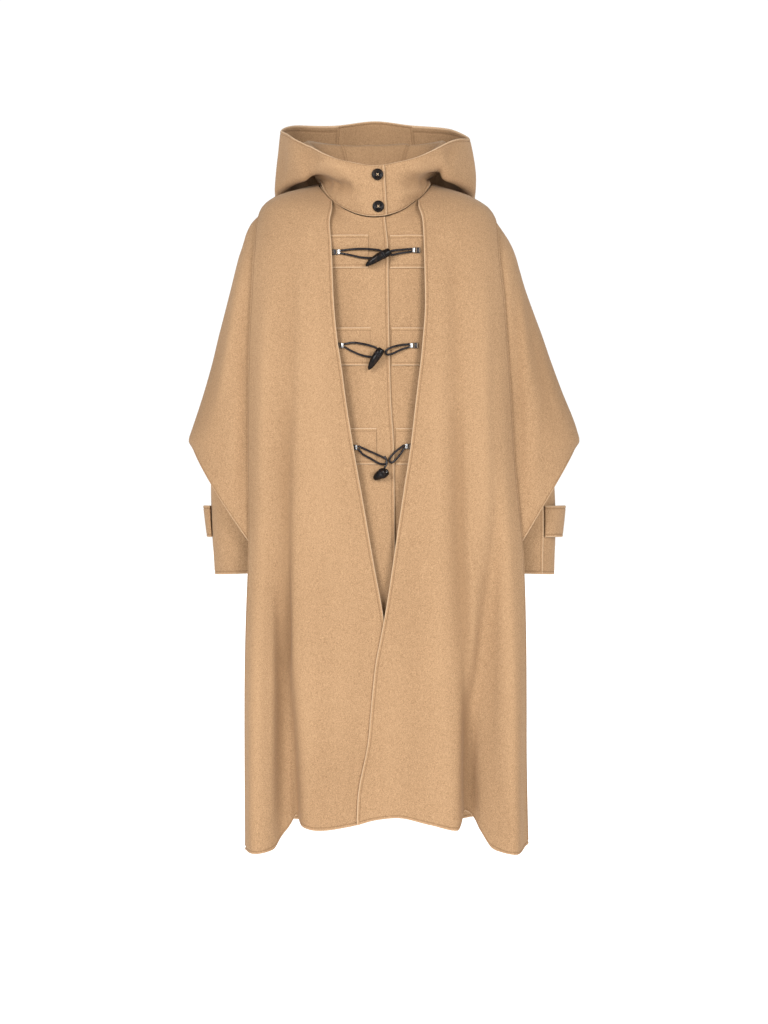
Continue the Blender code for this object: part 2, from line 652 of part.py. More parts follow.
def sleeve_ring(side, turn, v):
    """Plain oval ring of a sleeve, before it meets the armhole."""
    middle_x = SLEEVE.at("centre_x", v)
    outer = np.array((middle_x + side * SLEEVE.at("outer_x", v), 0.0, SLEEVE.at("outer_z", v)))
    inner = np.array((middle_x + side * SLEEVE.at("inner_x", v), 0.0, SLEEVE.at("inner_z", v)))
    depth = np.array((0.0, -SLEEVE.at("depth", v), 0.0))
    return (outer + inner) / 2.0 + (outer - inner) / 2.0 * math.cos(turn) + depth * math.sin(turn)


def sleeve_point(side, u, v):
    """Point of a sleeve: u runs round from the top over the front, v down from the armhole."""
    turn = 2.0 * math.pi * u
    seam_azimuth = 0.5 * math.pi - ARMHOLE_ANGLE * math.sin(turn)
    seam = coat_point(ARMHOLE_MIDDLE + ARMHOLE_HALF * math.cos(turn), side * seam_azimuth)
    seam[0] += side * (2.0 * SEAM_GAP + UNDERARM_GAP * (1.0 - math.cos(turn)) / 2.0)
    difference = seam - sleeve_ring(side, turn, 0.0)
    return sleeve_ring(side, turn, v) + difference * (1.0 - ease(0.0, SLEEVE_SETTLED, v))


def sleeve(side, material):
    """A sleeve, open at its armhole and its cuff."""
    def surface(u, v):
        def point(a, b):
            return sleeve_point(side, a, min(max(b, 0.0), 1.0))

        return point(u, v), normal_of(point, u, v, SHARE_STEP, SHARE_STEP) * -side

    places_u = [i / SLEEVE_COLUMNS for i in range(SLEEVE_COLUMNS)]
    name = "sleeve_left" if side > 0 else "sleeve_right"
    return shell(name, surface, places_u, SLEEVE_ROWS, WALL, material, closed=True)


def cuff_strap(side, material):
    """Wide strap that stands off the outer side of the sleeve as a loop."""
    first, last = STRAP_ENDS[side]

    def surface(u, v):
        place = STRAP_TOP + (STRAP_BOTTOM - STRAP_TOP) * v
        on_sleeve = sleeve_point(side, last + (first - last) * u, place)
        centre = (sleeve_point(side, 0.0, place) + sleeve_point(side, 0.5, place)) / 2.0
        outward = on_sleeve - centre
        outward[2] = 0.0
        outward = outward / np.linalg.norm(outward)
        height = STRAP_STAND_TOP + (STRAP_STAND_BOTTOM - STRAP_STAND_TOP) * v
        stand = height * math.sin(math.pi * u) ** STRAP_ROUND
        return on_sleeve + outward * (2.0 * SEAM_GAP + WALL + stand), outward

    name = "cuff_strap_left" if side > 0 else "cuff_strap_right"
    return shell(name, surface, spread(0.0, 1.0, 11), spread(0.0, 1.0, 3), WALL, material)


def hood_point(azimuth, place):
    """Point of the hood: place 0 is the neck seam and 1 the rim, azimuth in degrees."""
    side = 1.0 if azimuth >= 0.0 else -1.0
    turn = abs(azimuth)
    seam = plan_point(CAPE, CAPE_NECK, math.radians(azimuth))
    seam = seam + np.array((0.0, 0.0, 0.6))

    def ring(table):
        point = np.array([table.at(column, turn) for column in ("x", "y", "z")])
        point[0] = HOOD_X + side * point[0]
        return point

    rim = ring(HOOD_RIM)
    rim[2] += HOOD_TILT * (rim[0] - HOOD_X) * ease(60.0, 90.0, turn) * ease(150.0, 100.0, turn)
    spaced = ease(*HOOD_SPACE[int(side)], turn)
    sunk = ease(*HOOD_FOLD[int(side)], turn)
    folded = np.array((spaced, spaced, sunk))
    rings = [seam]
    for table, at in zip((HOOD_STAND, HOOD_INNER, HOOD_BOTTOM, HOOD_OUTER), HOOD_PLACES[1:-1]):
        plain = seam + (rim - seam) * at
        rings.append(plain * (1.0 - folded) + ring(table) * folded)
    rings.append(rim)
    return np.array([rounded(HOOD_PLACES, [point[k] for point in rings], place) for k in range(3)])


def hood_normal(azimuth, place):
    def point(a, b):
        return hood_point(a, min(max(b, 0.0), 1.0))

    return normal_of(point, azimuth, place, math.degrees(AZIMUTH_STEP), SHARE_STEP) * -1.0


def hood_side(side, material):
    """Side panel of the hood, from its buttoned front edge to the centre panel."""
    start_x = HOOD_UNDERLAP_X if side > 0 else HOOD_LAP_X

    def surface(u, v):
        start = math.degrees(math.atan2(start_x, HOOD_NECK_DEPTH))
        azimuth = start + (side * (HOOD_SEAM_AZIMUTH - HOOD_SEAM_GAP) - start) * u
        point = hood_point(azimuth, 1.0 - v)
        normal = hood_normal(azimuth, 1.0 - v)
        if side > 0:
            point = point - normal * LAP * (1.0 - ease(*HOOD_LAP_RISE, azimuth))
        return point, normal

    name = "hood_side_left" if side > 0 else "hood_side_right"
    return shell(name, surface, HOOD_COLUMNS, HOOD_ROWS, WALL, material)


def hood_centre(material):
    """Centre panel of the hood, between the two sides."""
    def surface(u, v):
        reach = 180.0 - HOOD_SEAM_AZIMUTH - HOOD_SEAM_GAP
        azimuth = 180.0 + (2.0 * u - 1.0) * reach
        if azimuth > 180.0:
            azimuth -= 360.0
        return hood_point(azimuth, 1.0 - v), hood_normal(azimuth, 1.0 - v)

    return shell("hood_centre", surface, spread(0.0, 1.0, 7), HOOD_ROWS, WALL, material)


def coat_place(side, x, z):
    """Outer point of a coat front at a place seen from the front."""
    row_key = z
    for _ in range(6):
        azimuth = azimuth_of_x(COAT, row_key, x)
        row_key += z - plan_point(COAT, row_key, azimuth)[2]
    return coat_face(side, row_key, azimuth_of_x(COAT, row_key, x))[0]


def on_coat(side, x, z, distance):
    """Point this far out from a coat front."""
    step = 2.0
    across = coat_place(side, x + step, z) - coat_place(side, x - step, z)
    up = coat_place(side, x, z + step) - coat_place(side, x, z - step)
    normal = np.cross(across, up)
    return coat_place(side, x, z) + normal / np.linalg.norm(normal) * distance


def toggle_patch(side, row, material):
    """Rectangle of cloth under a toggle row, made from the front's points."""
    top = TOGGLE_ROWS.at("patch_top", row)
    bottom = TOGGLE_ROWS.at("patch_bottom", row)
    if side > 0:
        near = COAT_LAP.at("x", (top + bottom) / 2.0) + LEFT_PATCH_INSET
        far = near + LEFT_PATCH_WIDTH
    else:
        near = TOGGLE_ROWS.at("right_near", row)
        far = TOGGLE_ROWS.at("right_far", row)

    def surface(u, v):
        x, z = near + (far - near) * u, top + (bottom - top) * v
        point = on_coat(side, x, z, PATCH_LIFT + PATCH_WALL)
        base = on_coat(side, x, z, PATCH_LIFT)
        return point, (point - base) / PATCH_WALL

    name = f"toggle_patch_{'left' if side > 0 else 'right'}_{row}"
    return shell(name, surface, spread(0.0, 1.0, 5), spread(0.0, 1.0, 3), PATCH_WALL, material)


def tube(name, route, radii, sides, material):
    """Round solid along a route, with flat ends."""
    points = [np.array(point, dtype=float) for point in route]
    vertices, faces = [], []
    reference = np.array((0.0, -1.0, 0.0))
    for i, point in enumerate(points):
        ahead = points[min(i + 1, len(points) - 1)] - points[max(i - 1, 0)]
        ahead = ahead / np.linalg.norm(ahead)
        across = np.cross(ahead, reference)
        across = across / np.linalg.norm(across)
        reference = np.cross(across, ahead)
        for k in range(sides):
            turn = 2.0 * math.pi * k / sides
            vertices.append(point + radii[i] * (across * math.cos(turn) + reference * math.sin(turn)))
    for i in range(len(points) - 1):
        for k in range(sides):
            a, b = i * sides + k, i * sides + (k + 1) % sides
            faces.append((a, b, b + sides, a + sides))
    faces.append(tuple(range(sides)))
    faces.append(tuple(range((len(points) - 1) * sides, len(points) * sides)))
    return add_object(name, vertices, faces, material)


def smooth_route(points, count):
    """Evenly read points on a rounded curve through a short list."""
    points = [np.array(point, dtype=float) for point in points]
    lengths = [0.0]
    for before, after in zip(points, points[1:]):
        lengths.append(lengths[-1] + float(np.linalg.norm(after - before)))
    return [np.array([rounded(lengths, [point[k] for point in points], at) for k in range(3)])
            for at in spread(0.0, lengths[-1], count)]


def cord(name, side, route, count, material):
    """Round cord that lies over a coat front."""
    points = smooth_route([on_coat(side, *place) for place in route], count)
    return tube(name, points, [CORD_RADIUS] * count, CORD_SIDES, material)


def toggle(row, material):
    """Horn toggle: a blunt butt that tapers in a slight bend to its tip."""
    butt, tip, radius = TOGGLES[row]
    start, end = on_coat(-1, *butt), on_coat(-1, *tip)
    bend = np.array(TOGGLE_BEND)
    route = [start + (end - start) * place + bend * math.sin(math.pi * place)
             for place, _ in TOGGLE_SHAPE]
    radii = [radius * share for _, share in TOGGLE_SHAPE]
    return tube(f"toggle_{row}", route, radii, TOGGLE_SIDES, material)


def plate(name, side, middle, size, distance, material):
    """Small bevelled plate that lies on a coat front, turned to its surface."""
    x, z = middle
    width, height, thickness = size
    corners = []
    for out in (distance + thickness, distance):
        for dx, dz in ((-1, -1), (1, -1), (1, 1), (-1, 1)):
            corners.append(on_coat(side, x + dx * width / 2.0, z + dz * height / 2.0, out))
    faces = [(0, 1, 2, 3), (7, 6, 5, 4), (0, 4, 5, 1), (1, 5, 6, 2), (2, 6, 7, 3), (3, 7, 4, 0)]
    item = add_object(name, corners, faces, material)
    bevel = item.modifiers.new("Bevel", "BEVEL")
    bevel.width = PLATE_BEVEL * MM
    bevel.segments = 1
    return item


def button(place, material):
    """Round button with a raised rim and a sunk middle, sewn on the hood's lap."""
    x, z, lift = HOOD_BUTTONS[place]
    low, high = HOOD_FRONT_Z
    azimuth = math.degrees(math.atan2(x - HOOD_X, HOOD_NECK_DEPTH))
    front = hood_point(azimuth, (z - low) / (high - low))
    vertices, faces = [], []
    for radius, out in BUTTON_SHAPE:
        for k in range(BUTTON_SIDES):
            turn = 2.0 * math.pi * k / BUTTON_SIDES
            vertices.append((front[0] + radius * math.cos(turn), front[1] - lift - out,
                             front[2] + radius * math.sin(turn)))
    rings = len(BUTTON_SHAPE)
    for ring in range(rings - 1):
        for k in range(BUTTON_SIDES):
            a, b = ring * BUTTON_SIDES + k, ring * BUTTON_SIDES + (k + 1) % BUTTON_SIDES
            faces.append((a, b, b + BUTTON_SIDES, a + BUTTON_SIDES))
    faces.append(tuple(range(BUTTON_SIDES)))
    faces.append(tuple(range((rings - 1) * BUTTON_SIDES, rings * BUTTON_SIDES)))
    return add_object(f"hood_button_{place}", vertices, faces, material)


def clear_scene():
    """Remove whatever the scene holds already."""
    for item in list(bpy.data.objects):
        bpy.data.objects.remove(item, do_unlink=True)


def main():
    clear_scene()
    cloth = make_material("camel_wool", (0.62, 0.40, 0.22), 0.9)
    leather = make_material("dark_leather", (0.05, 0.035, 0.03), 0.5)
    horn = make_material("dark_horn", (0.02, 0.016, 0.014), 0.25)
    metal = make_material("silver_metal", (0.75, 0.75, 0.74), 0.3, 1.0)

    cape_back(cloth)
    coat_back(cloth)
    hood_centre(cloth)
    for side in (-1, 1):
        cape_front(side, cloth)
        cape_wing(side, cloth)
        coat_front(side, cloth)
        sleeve(side, cloth)
        cuff_strap(side, cloth)
        hood_side(side, cloth)
    for row in (1, 2, 3):
        cord(f"toggle_loop_right_{row}", -1, LOOP_ROUTES[row], LOOP_POINTS, leather)
        cord(f"toggle_cord_left_{row}", 1, CORD_ROUTES[row], CORD_POINTS, leather)
        toggle(row, horn)
        for side, word in ((-1, "right"), (1, "left")):
            toggle_patch(side, row, cloth)
            x = TOGGLE_ROWS.at(f"tab_{word}_x", row)
            z = TOGGLE_ROWS.at(f"tab_{word}_z", row)
            out = PATCH_LIFT + PATCH_WALL + 2.0 * SEAM_GAP
            clasp_x = x - side * CLASP_OFFSET
            plate(f"loop_tab_{word}_{row}", side, (x, z), TAB_SIZE, out, leather)
            plate(f"tab_clasp_{word}_{row}", side, (clasp_x, z), CLASP_SIZE, out, metal)
    button("upper", horn)
    button("lower", horn)


main()
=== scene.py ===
"""Looks of a hooded cape duffle coat in double-faced camel wool.

Every cloth piece is a fine sheet on the form of the solid that it replaces, with its creases,
rims and stitch lines. Tables are millimetres, seen from the front; the meshes are metres.
"""

import bisect
import math
from functools import partial

import bmesh
import bpy
import numpy as np
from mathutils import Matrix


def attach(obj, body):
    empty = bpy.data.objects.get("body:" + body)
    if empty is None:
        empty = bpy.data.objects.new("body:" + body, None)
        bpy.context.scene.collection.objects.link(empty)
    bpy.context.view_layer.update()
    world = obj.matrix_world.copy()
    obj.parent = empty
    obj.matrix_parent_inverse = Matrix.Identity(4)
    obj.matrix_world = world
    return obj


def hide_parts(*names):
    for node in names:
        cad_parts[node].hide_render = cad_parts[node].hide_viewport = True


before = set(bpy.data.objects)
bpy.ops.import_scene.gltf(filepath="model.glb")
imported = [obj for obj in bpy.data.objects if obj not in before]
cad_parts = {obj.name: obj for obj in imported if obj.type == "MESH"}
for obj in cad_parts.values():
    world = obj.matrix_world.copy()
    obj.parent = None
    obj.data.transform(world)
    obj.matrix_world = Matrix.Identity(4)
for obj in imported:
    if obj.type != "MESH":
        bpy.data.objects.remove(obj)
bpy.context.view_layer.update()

MM = 0.001

# Sizes that the tables below don't give
WALL = 3.0                 # double-faced wool
SEAM_GAP = 0.4             # between pieces that are sewn together
FIGURE_X = 14.0            # moves the shoulders' middle onto the origin
MIDDLE_X = -10.0           # the coat's middle line, about, before that move
LAP = 4.2                  # depth between two lapped fronts, face to face
PATCH_WALL = 1.6
PATCH_LIFT = 0.9           # a patch's gap over the rounded front beneath it
CORD_RADIUS = 1.45
CORD_SIDES = 14
LOOP_POINTS = 60
CORD_POINTS = 48
CORD_RAISE = 0.4           # a cord's round form stands this far past its solid's flat sides
ROW_STEP = 0.5             # steps for slopes: along a row's key, and in radians round it
AZIMUTH_STEP = 0.004
SHARE_STEP = 1e-3          # the same for surfaces read by shares of their length


class Table:
    """Rows of named columns, read smoothly by their first column, without overshoot."""

    def __init__(self, columns, *rows):
        ordered = sorted(rows)
        self.keys = [float(row[0]) for row in ordered]
        self.columns = {}
        self.slopes = {}
        for index, column in enumerate(columns[1:], start=1):
            values = [float(row[index]) for row in ordered]
            self.columns[column] = values
            self.slopes[column] = monotone_slopes(self.keys, values)

    def at(self, column, key):
        keys, values, slopes = self.keys, self.columns[column], self.slopes[column]
        if key <= keys[0]:
            return values[0]
        if key >= keys[-1]:
            return values[-1]
        i = bisect.bisect_right(keys, key) - 1
        step = keys[i + 1] - keys[i]
        return hermite(values[i], values[i + 1], slopes[i], slopes[i + 1], step,
                       (key - keys[i]) / step)


def monotone_slopes(keys, values):
    """Slopes that keep a cubic between its rows."""
    steps = [after - before for before, after in zip(keys, keys[1:])]
    rates = [(after - before) / step for before, after, step in zip(values, values[1:], steps)]
    slopes = [rates[0]]
    for k in range(1, len(rates)):
        before, after = rates[k - 1], rates[k]
        if before * after <= 0.0:
            slopes.append(0.0)
            continue
        weight_a = 2.0 * steps[k] + steps[k - 1]
        weight_b = steps[k] + 2.0 * steps[k - 1]
        slopes.append((weight_a + weight_b) / (weight_a / before + weight_b / after))
    slopes.append(rates[-1])
    return slopes


def rounded(keys, values, key):
    """Cubic reading that rounds through its rows, for folded profiles."""
    last = len(keys) - 1
    key = min(max(key, keys[0]), keys[last])
    i = min(bisect.bisect_right(keys, key) - 1, last - 1)

    def slope(k):
        low, high = max(k - 1, 0), min(k + 1, last)
        return (values[high] - values[low]) / (keys[high] - keys[low])

    step = keys[i + 1] - keys[i]
    return hermite(values[i], values[i + 1], slope(i), slope(i + 1), step, (key - keys[i]) / step)


def hermite(start, end, slope_start, slope_end, step, t):
    return ((2 * t ** 3 - 3 * t ** 2 + 1) * start + (t ** 3 - 2 * t ** 2 + t) * step * slope_start
            + (3 * t ** 2 - 2 * t ** 3) * end + (t ** 3 - t ** 2) * step * slope_end)


def ease(low, high, value):
    """0 at low, 1 at high, with level ends."""
    t = min(max((value - low) / (high - low), 0.0), 1.0)
    return t * t * (3.0 - 2.0 * t)


def spread(start, end, count):
    return [start + (end - start) * i / (count - 1) for i in range(count)]


X_AXIS, Y_AXIS, Z_AXIS = np.eye(3)


def circle(centre, radius, count, across, up):
    """Points round a centre, in the plane of two unit vectors."""
    turns = [2.0 * math.pi * k / count for k in range(count)]
    return [centre + radius * (across * math.cos(turn) + up * math.sin(turn)) for turn in turns]


def bands(rings, count, closed=False):
    """Faces between rings that follow each other, with lids unless they close on themselves."""
    faces = []
    for ring in range(rings if closed else rings - 1):
        after = ((ring + 1) % rings - ring) * count
        for k in range(count):
            a, b = ring * count + k, ring * count + (k + 1) % count
            faces.append((a, b, b + after, a + after))
    if not closed:
        faces += [tuple(range(count)), tuple(range((rings - 1) * count, rings * count))]
    return faces


# The plan of the cape at each height. side_z is the height on the shoulder line,
# edge_x is where the front panel's side edge lies, power is how square the plan is.
PLAN = ("side_z", "front_z", "back_z", "centre_x", "edge_x", "front_y", "back_y", "power")
CAPE = Table(
    PLAN,
    (27, -41, 38, -16, 101, 115, 80, 2.0),
    (4, -66, -6, -19, 172, 119, 92, 2.1),
    (-18, -88, -40, -15, 200, 123, 100, 2.2),
    (-43, -108, -66, -12.5, 208.5, 127, 106, 2.3),
    (-100, -142, -118, -13, 213, 132, 113, 2.6),
    (-165, -178, -172, -11, 218, 136, 118, 2.9),
    (-245, -248, -246, -10, 222.5, 139, 121, 3.2),
    (-330, -330, -330, -8, 226, 142, 124, 3.5),
    (-450, -450, -450, -5, 229.5, 146, 128, 4.0),
    (-648, -648, -648, 4, 233, 151, 136, 4.0),
    (-934, -934, -934, 5, 235, 162, 150, 4.0),
    (-1118, -1118, -1118, 8, 235, 172, 160, 4.0),
)
# How far its front and back panels' side edges lie from the shoulder line.
CAPE_SIDES = Table(
    ("side_z", "front", "back"),
    (-18, 0, 0), (-24, 9, 9), (-30, 17, 16.5), (-43, 30, 29), (-62, 44, 43), (-100, 62, 60),
    (-165, 72, 70), (-245, 77, 75), (-330, 82, 80), (-450, 87, 85), (-648, 97, 94),
    (-934, 118, 112), (-1118, 136, 128),
)
CAPE_NECK = 27.0
STRAIGHT_HEM = -930.0      # rows above this height are level
NOMINAL_HEM = -1085.0
CAPE_ROWS = [CAPE_NECK, 12.0, -4.0, -18.0, -26.0, -42.0, -64.0, -95.0, -140.0, -190.0, -255.0,
             -330.0, -420.0, -520.0, -620.0, -720.0, -810.0, -890.0, -955.0, -1010.0, -1055.0,
             NOMINAL_HEM]
FOLD_SIDEWAYS = 0.35       # how far folds push sideways, against outward
# Where the right front goes under the left one: heights, then x.
CAPE_UNDER_Z = (-480.0, -640.0)
CAPE_UNDER_X = (-110.0, -45.0)

# Front edges of the cape: x against height.
CAPE_EDGE_RIGHT = Table(
    ("z", "x"),
    (-24, -89), (-50, -93), (-87, -90), (-186, -85.5), (-251, -79.5), (-292, -73),
    (-352, -65), (-429, -53), (-525, -36), (-634, -17), (-716, -2), (-800, 10), (-1080, 30),
)
CAPE_EDGE_LEFT = Table(
    ("z", "x"),
    (-20, 59), (-45, 66), (-126, 69), (-186, 70), (-262, 65), (-356, 54), (-434, 45),
    (-505, 34), (-586, 22), (-706, 4), (-760, -6), (-801, -14), (-865, -21), (-933, -27),
    (-1042, -45), (-1075, -46),
)
# Hem heights of the cape: front and back, by x.
HEM_FRONT = Table(
    ("x", "z"),
    (-240, -1113), (-227, -1121), (-199, -1126), (-181, -1117), (-170, -1085), (-160, -1062),
    (-145, -1078), (-110, -1085), (-53, -1078), (-13, -1068), (24, -1064), (77, -1075),
    (124, -1085), (138, -1072), (152, -1055), (166, -1085), (178, -1115), (207, -1128),
    (240, -1112),
)
HEM_BACK = Table(
    ("x", "z"),
    (-240, -1108), (-205, -1118), (-165, -1098), (-120, -1104), (-60, -1090), (-5, -1098),
    (60, -1088), (125, -1102), (165, -1094), (208, -1120), (240, -1110),
)
# Soft folds that fall to the hem: depth is outward, negative into the body.
FRONT_FOLDS = Table(
    ("hem_x", "top_x", "top_z", "width", "depth"),
    (-205, -222, -420, 24, 34), (-161, -204, -390, 17, -32), (-100, -110, -760, 34, 8),
    (-20, -40, -820, 30, -5), (60, 70, -800, 30, 7), (110, 120, -740, 26, 9),
    (152, 196, -430, 17, -32), (207, 226, -420, 24, 34),
)
BACK_FOLDS = Table(
    ("hem_x", "top_x", "top_z", "width", "depth"),
    (-206, -222, -420, 30, 20), (-152, -180, -400, 26, -16), (-95, -80, -500, 32, 16),
    (-40, -30, -560, 24, -14), (12, 8, -430, 30, 18), (68, 55, -600, 24, -15),
    (112, 100, -520, 26, 12), (154, 182, -400, 26, -16), (208, 224, -420, 30, 20),
)

# The plan of the coat under the cape; edge_x is its half width on the shoulder line.
COAT = Table(
    PLAN,
    (26.2, -41.8, 37.2, -16, 97.4, 111.4, 76.4, 2.0),
    (19, -49, 29, -16, 98, 111.6, 77, 2.0),
    (-4, -74, -16, -17, 162, 113, 86, 2.1),
    (-28, -94, -48, -14, 188, 116, 93, 2.2),
    (-100, -140, -118, -13, 189, 120, 102, 2.3),
    (-165, -178, -170, -11, 182, 123, 106, 2.4),
    (-215, -217, -216, -10, 176, 125, 108, 2.4),
    (-330, -330, -330, -8, 172, 127, 109, 2.4),
    (-450, -450, -450, -5, 173, 129, 111, 2.4),
    (-700, -700, -700, 4, 181, 134, 119, 2.4),
    (-1030, -1030, -1030, 8, 198, 141, 130, 2.4),
)
COAT_NECK = 26.2
COAT_HEM = -1030.0
ARMHOLE_TOP = -28.0
ARMHOLE_BOTTOM = -215.0
ARMHOLE_MIDDLE = (ARMHOLE_TOP + ARMHOLE_BOTTOM) / 2.0
ARMHOLE_HALF = (ARMHOLE_TOP - ARMHOLE_BOTTOM) / 2.0
ARMHOLE_ANGLE = math.radians(22.0)
SLEEVE_COLUMNS = 20
# The coat's rows meet the sleeve's columns all round the armhole.
COAT_ROWS = ([COAT_NECK, 19.0, 6.0, -12.0]
             + [ARMHOLE_MIDDLE + ARMHOLE_HALF * math.cos(2.0 * math.pi * k / SLEEVE_COLUMNS)
                for k in range(SLEEVE_COLUMNS // 2 + 1)]
             + [-300.0, -430.0, -600.0, -800.0, COAT_HEM])
# The lapping front's edge, and the hidden edge of the front beneath it.
COAT_LAP = Table(
    ("z", "x"),
    (-44, 2), (-95, 7), (-185, 8), (-352, 12), (-434, 17), (-587, 19), (-800, 24), (-1030, 30),
)
UNDERLAP = 62.0
SEAM_CLOSE = 3.0           # the back runs this many seam gaps under the fronts' edges
LAP_RISE = (1.0, 40.0)     # past the lap's edge, where the front beneath comes back out

# Sleeve rings: the ring's outer and inner ends in the coronal plane, and its half depth.
SLEEVE = Table(
    ("along", "centre_x", "outer_x", "outer_z", "inner_x", "inner_z", "depth"),
    (0.00, -13, 190, -28, 177, -215, 52),
    (0.10, -13, 212, -68, 187, -236, 54),
    (0.22, -12, 237, -136, 184, -266, 58),
    (0.36, -9, 272, -240, 182, -318, 60),
    (0.50, -7, 293, -340, 182, -385, 60),
    (0.66, -4, 299, -445, 186, -460, 60),
    (0.82, -1, 301, -545, 187, -548, 58),
    (1.00, 1, 297, -655, 187, -651, 56),
)
SLEEVE_SETTLED = 0.34      # where the armhole's own shape has died away
UNDERARM_GAP = 2.0
STRAP_TOP = 0.803          # the cuff strap's place along the sleeve
STRAP_BOTTOM = 0.893
STRAP_ENDS = {-1: (-0.22, 0.045), 1: (-0.2, 0.15)}   # shares of the way round the sleeve
STRAP_STAND_TOP = 15.0     # how far the loop stands off, at its two edges
STRAP_STAND_BOTTOM = 9.0
STRAP_ROUND = 0.7

# Wings over the arms: their outline from the front.
WING = Table(
    ("z", "centre_x", "outer_x"),
    (-16, -15, 189), (-22, -16, 196), (-30, -16.5, 205), (-42, -17, 215.5), (-90, -11, 237),
    (-158, -9.5, 259),
    (-240, -7, 285), (-330, -3, 315), (-402, 0, 338), (-420, 0, 342), (-436, 0, 338),
)
WING_TOP = -14.0
WING_CAP = 34.0            # its top edge falls this far to its tucked edges
WING_CAP_WIDTH = 16.0      # least half width of its top, under the shoulder's end
WING_CORNER = -424.0
WING_DROP = 180.0          # from the corner down to the hidden end of its hem
WING_ROUND = 0.85
WING_TUCK = math.radians(5.0)
WING_OVAL_Z = (-50.0, -150.0)   # its plan turns from a pointed arch to an oval here
WING_GAP = Table(("side_z", "gap"), (-16, 0.9), (-40, 1.3), (-60, 2.2), (-600, 2.8))
TUCK_SHARE = 0.14          # share of each half of the wing that is tucked

# Hood rings by azimuth from the front: half width from its middle line, depth and height.
HOOD_X = -16.0
NECK_LIFT = 0.6            # of the hood over the neck seam


def hood_ring(*rows):
    """Ring that crosses the middle of the back level: its row at 150 degrees is mirrored."""
    mirrored = [(360 - azimuth, -x, y, z) for azimuth, x, y, z in rows if azimuth == 150]
    return Table(("azimuth", "x", "y", "z"), *rows, *mirrored)


HOOD_STAND = hood_ring(
    (50, 82, -64, 60), (70, 104, -30, 84), (90, 121, 12, 102), (120, 108, 72, 108),
    (150, 62, 98, 106), (180, 0, 106, 106),
)
HOOD_INNER = hood_ring(
    (50, 88, -72, 42), (70, 115, -39, 50), (90, 144, 18, 36), (120, 131, 92, 8),
    (150, 70, 124, -6), (180, 0, 131, -8),
)
HOOD_BOTTOM = hood_ring(
    (50, 92, -76, 29), (70, 125, -43, 27), (90, 161, 24, 11), (120, 155, 112, -30),
    (150, 78, 156, -47), (180, 0, 164, -50),
)
HOOD_OUTER = hood_ring(
    (50, 98, -80, 35), (70, 137, -47, 34), (90, 177, 28, 17), (120, 172, 128, -14),
    (150, 84, 190, -26), (180, 0, 198, -28),
)
HOOD_RIM = hood_ring(
    (-30, -48, -117, 54), (0, 0, -122, 46), (30, 48, -117, 54), (45, 81, -106, 65),
    (60, 119, -80, 86), (75, 148, -34, 106), (90, 166, 30, 119), (120, 138, 102, 141),
    (150, 66, 150, 151), (180, 0, 170, 161),
)
HOOD_PLACES = [0.0, 0.26, 0.46, 0.56, 0.66, 1.0]
HOOD_SPACE = {-1: (38.0, 62.0), 1: (40.0, 64.0)}   # the pouch widens between these azimuths
HOOD_FOLD = {-1: (43.0, 66.0), 1: (46.0, 70.0)}    # and sinks to its full depth between these
HOOD_TILT = -0.042         # its right corner stands higher than its left
HOOD_SEAM_AZIMUTH = 150.0
HOOD_SEAM_GAP = 0.1        # half the gap at that seam, in degrees
HOOD_OVERLAP = 0.45        # the centre runs this far under the sides' edges, in degrees
HOOD_LAP_X = 22.0          # the buttoned edge, past the hood's middle line
HOOD_UNDERLAP_X = -16.0
HOOD_NECK_DEPTH = 115.0    # how far the buttoned front lies before the hood's middle
HOOD_LAP_RISE = (12.0, 30.0)
HOOD_FRONT_Z = (-41.0, 47.0)

# Toggle rows: heights of the patches, then where the loops and tabs lie.
TOGGLE_ROWS = Table(
    ("row", "patch_top", "patch_bottom", "right_near", "right_far",
     "tab_right_x", "tab_right_z", "tab_left_x", "tab_left_z"),
    (1, -72, -129, -27, -99, -83, -102, 57, -99),
    (2, -231, -296, -23, -92, -77, -262, 53, -262),
    (3, -403, -465, -13, -68, -54, -436, 46, -434),
)
LEFT_PATCH_INSET = 3.5     # from the lap's edge to the left patches
LEFT_PATCH_WIDTH = 66.0
TAB_SIZE = (9.0, 9.5, 2.0)
CLASP_SIZE = (4.0, 8.5, 3.6)
CLASP_OFFSET = 6.9         # between the middles of tab and clasp
# Cord routes as x, z and the distance out from the coat front.
LOOP_ROUTES = {
    1: ((-73.4, -99.6, 4.8), (-45, -97.5, 6.5), (-14, -98.5, 5.5), (-3, -102, 5.2),
        (-5, -109, 5.2), (-18, -112.5, 5.4), (-38, -112, 6.0), (-60, -107, 5.6),
        (-73.4, -104.4, 4.8)),
    2: ((-66.8, -259.6, 4.8), (-52, -257.5, 6.5), (-34, -260, 6.5), (-14, -266, 5.2),
        (-8, -274, 5.2), (-17, -281, 5.2), (-34, -280, 6.0), (-54, -272, 5.6),
        (-66.8, -264.4, 4.8)),
    3: ((-43.6, -433.6, 4.8), (-28, -441, 6.5), (-8, -450, 6.0), (4, -457, 5.4), (2, -464, 5.2),
        (-8, -463.5, 5.4), (-22, -455.5, 6.0), (-36, -447.5, 5.6), (-43.6, -438.4, 4.8)),
}
CORD_ROUTES = {
    1: ((47.4, -96.6, 4.8), (30, -98.5, 7.0), (14, -100, 7.0), (5.5, -103.5, 5.4), (12, -107, 6.6),
        (28, -104.5, 7.0), (47.4, -101.4, 4.8)),
    2: ((43.4, -259.6, 4.8), (26, -262, 7.0), (10, -266.5, 7.5), (3, -272, 6.4), (5, -277.5, 6.4),
        (15, -276, 7.5), (28, -270, 7.0), (43.4, -264.4, 4.8)),
    3: ((35.6, -431.6, 4.8), (24, -440, 7.0), (13, -450, 7.5), (9, -457.5, 6.4), (12.5, -462, 6.4),
        (19, -458, 7.5), (28, -448, 7.0), (35.6, -436.4, 4.8)),
}
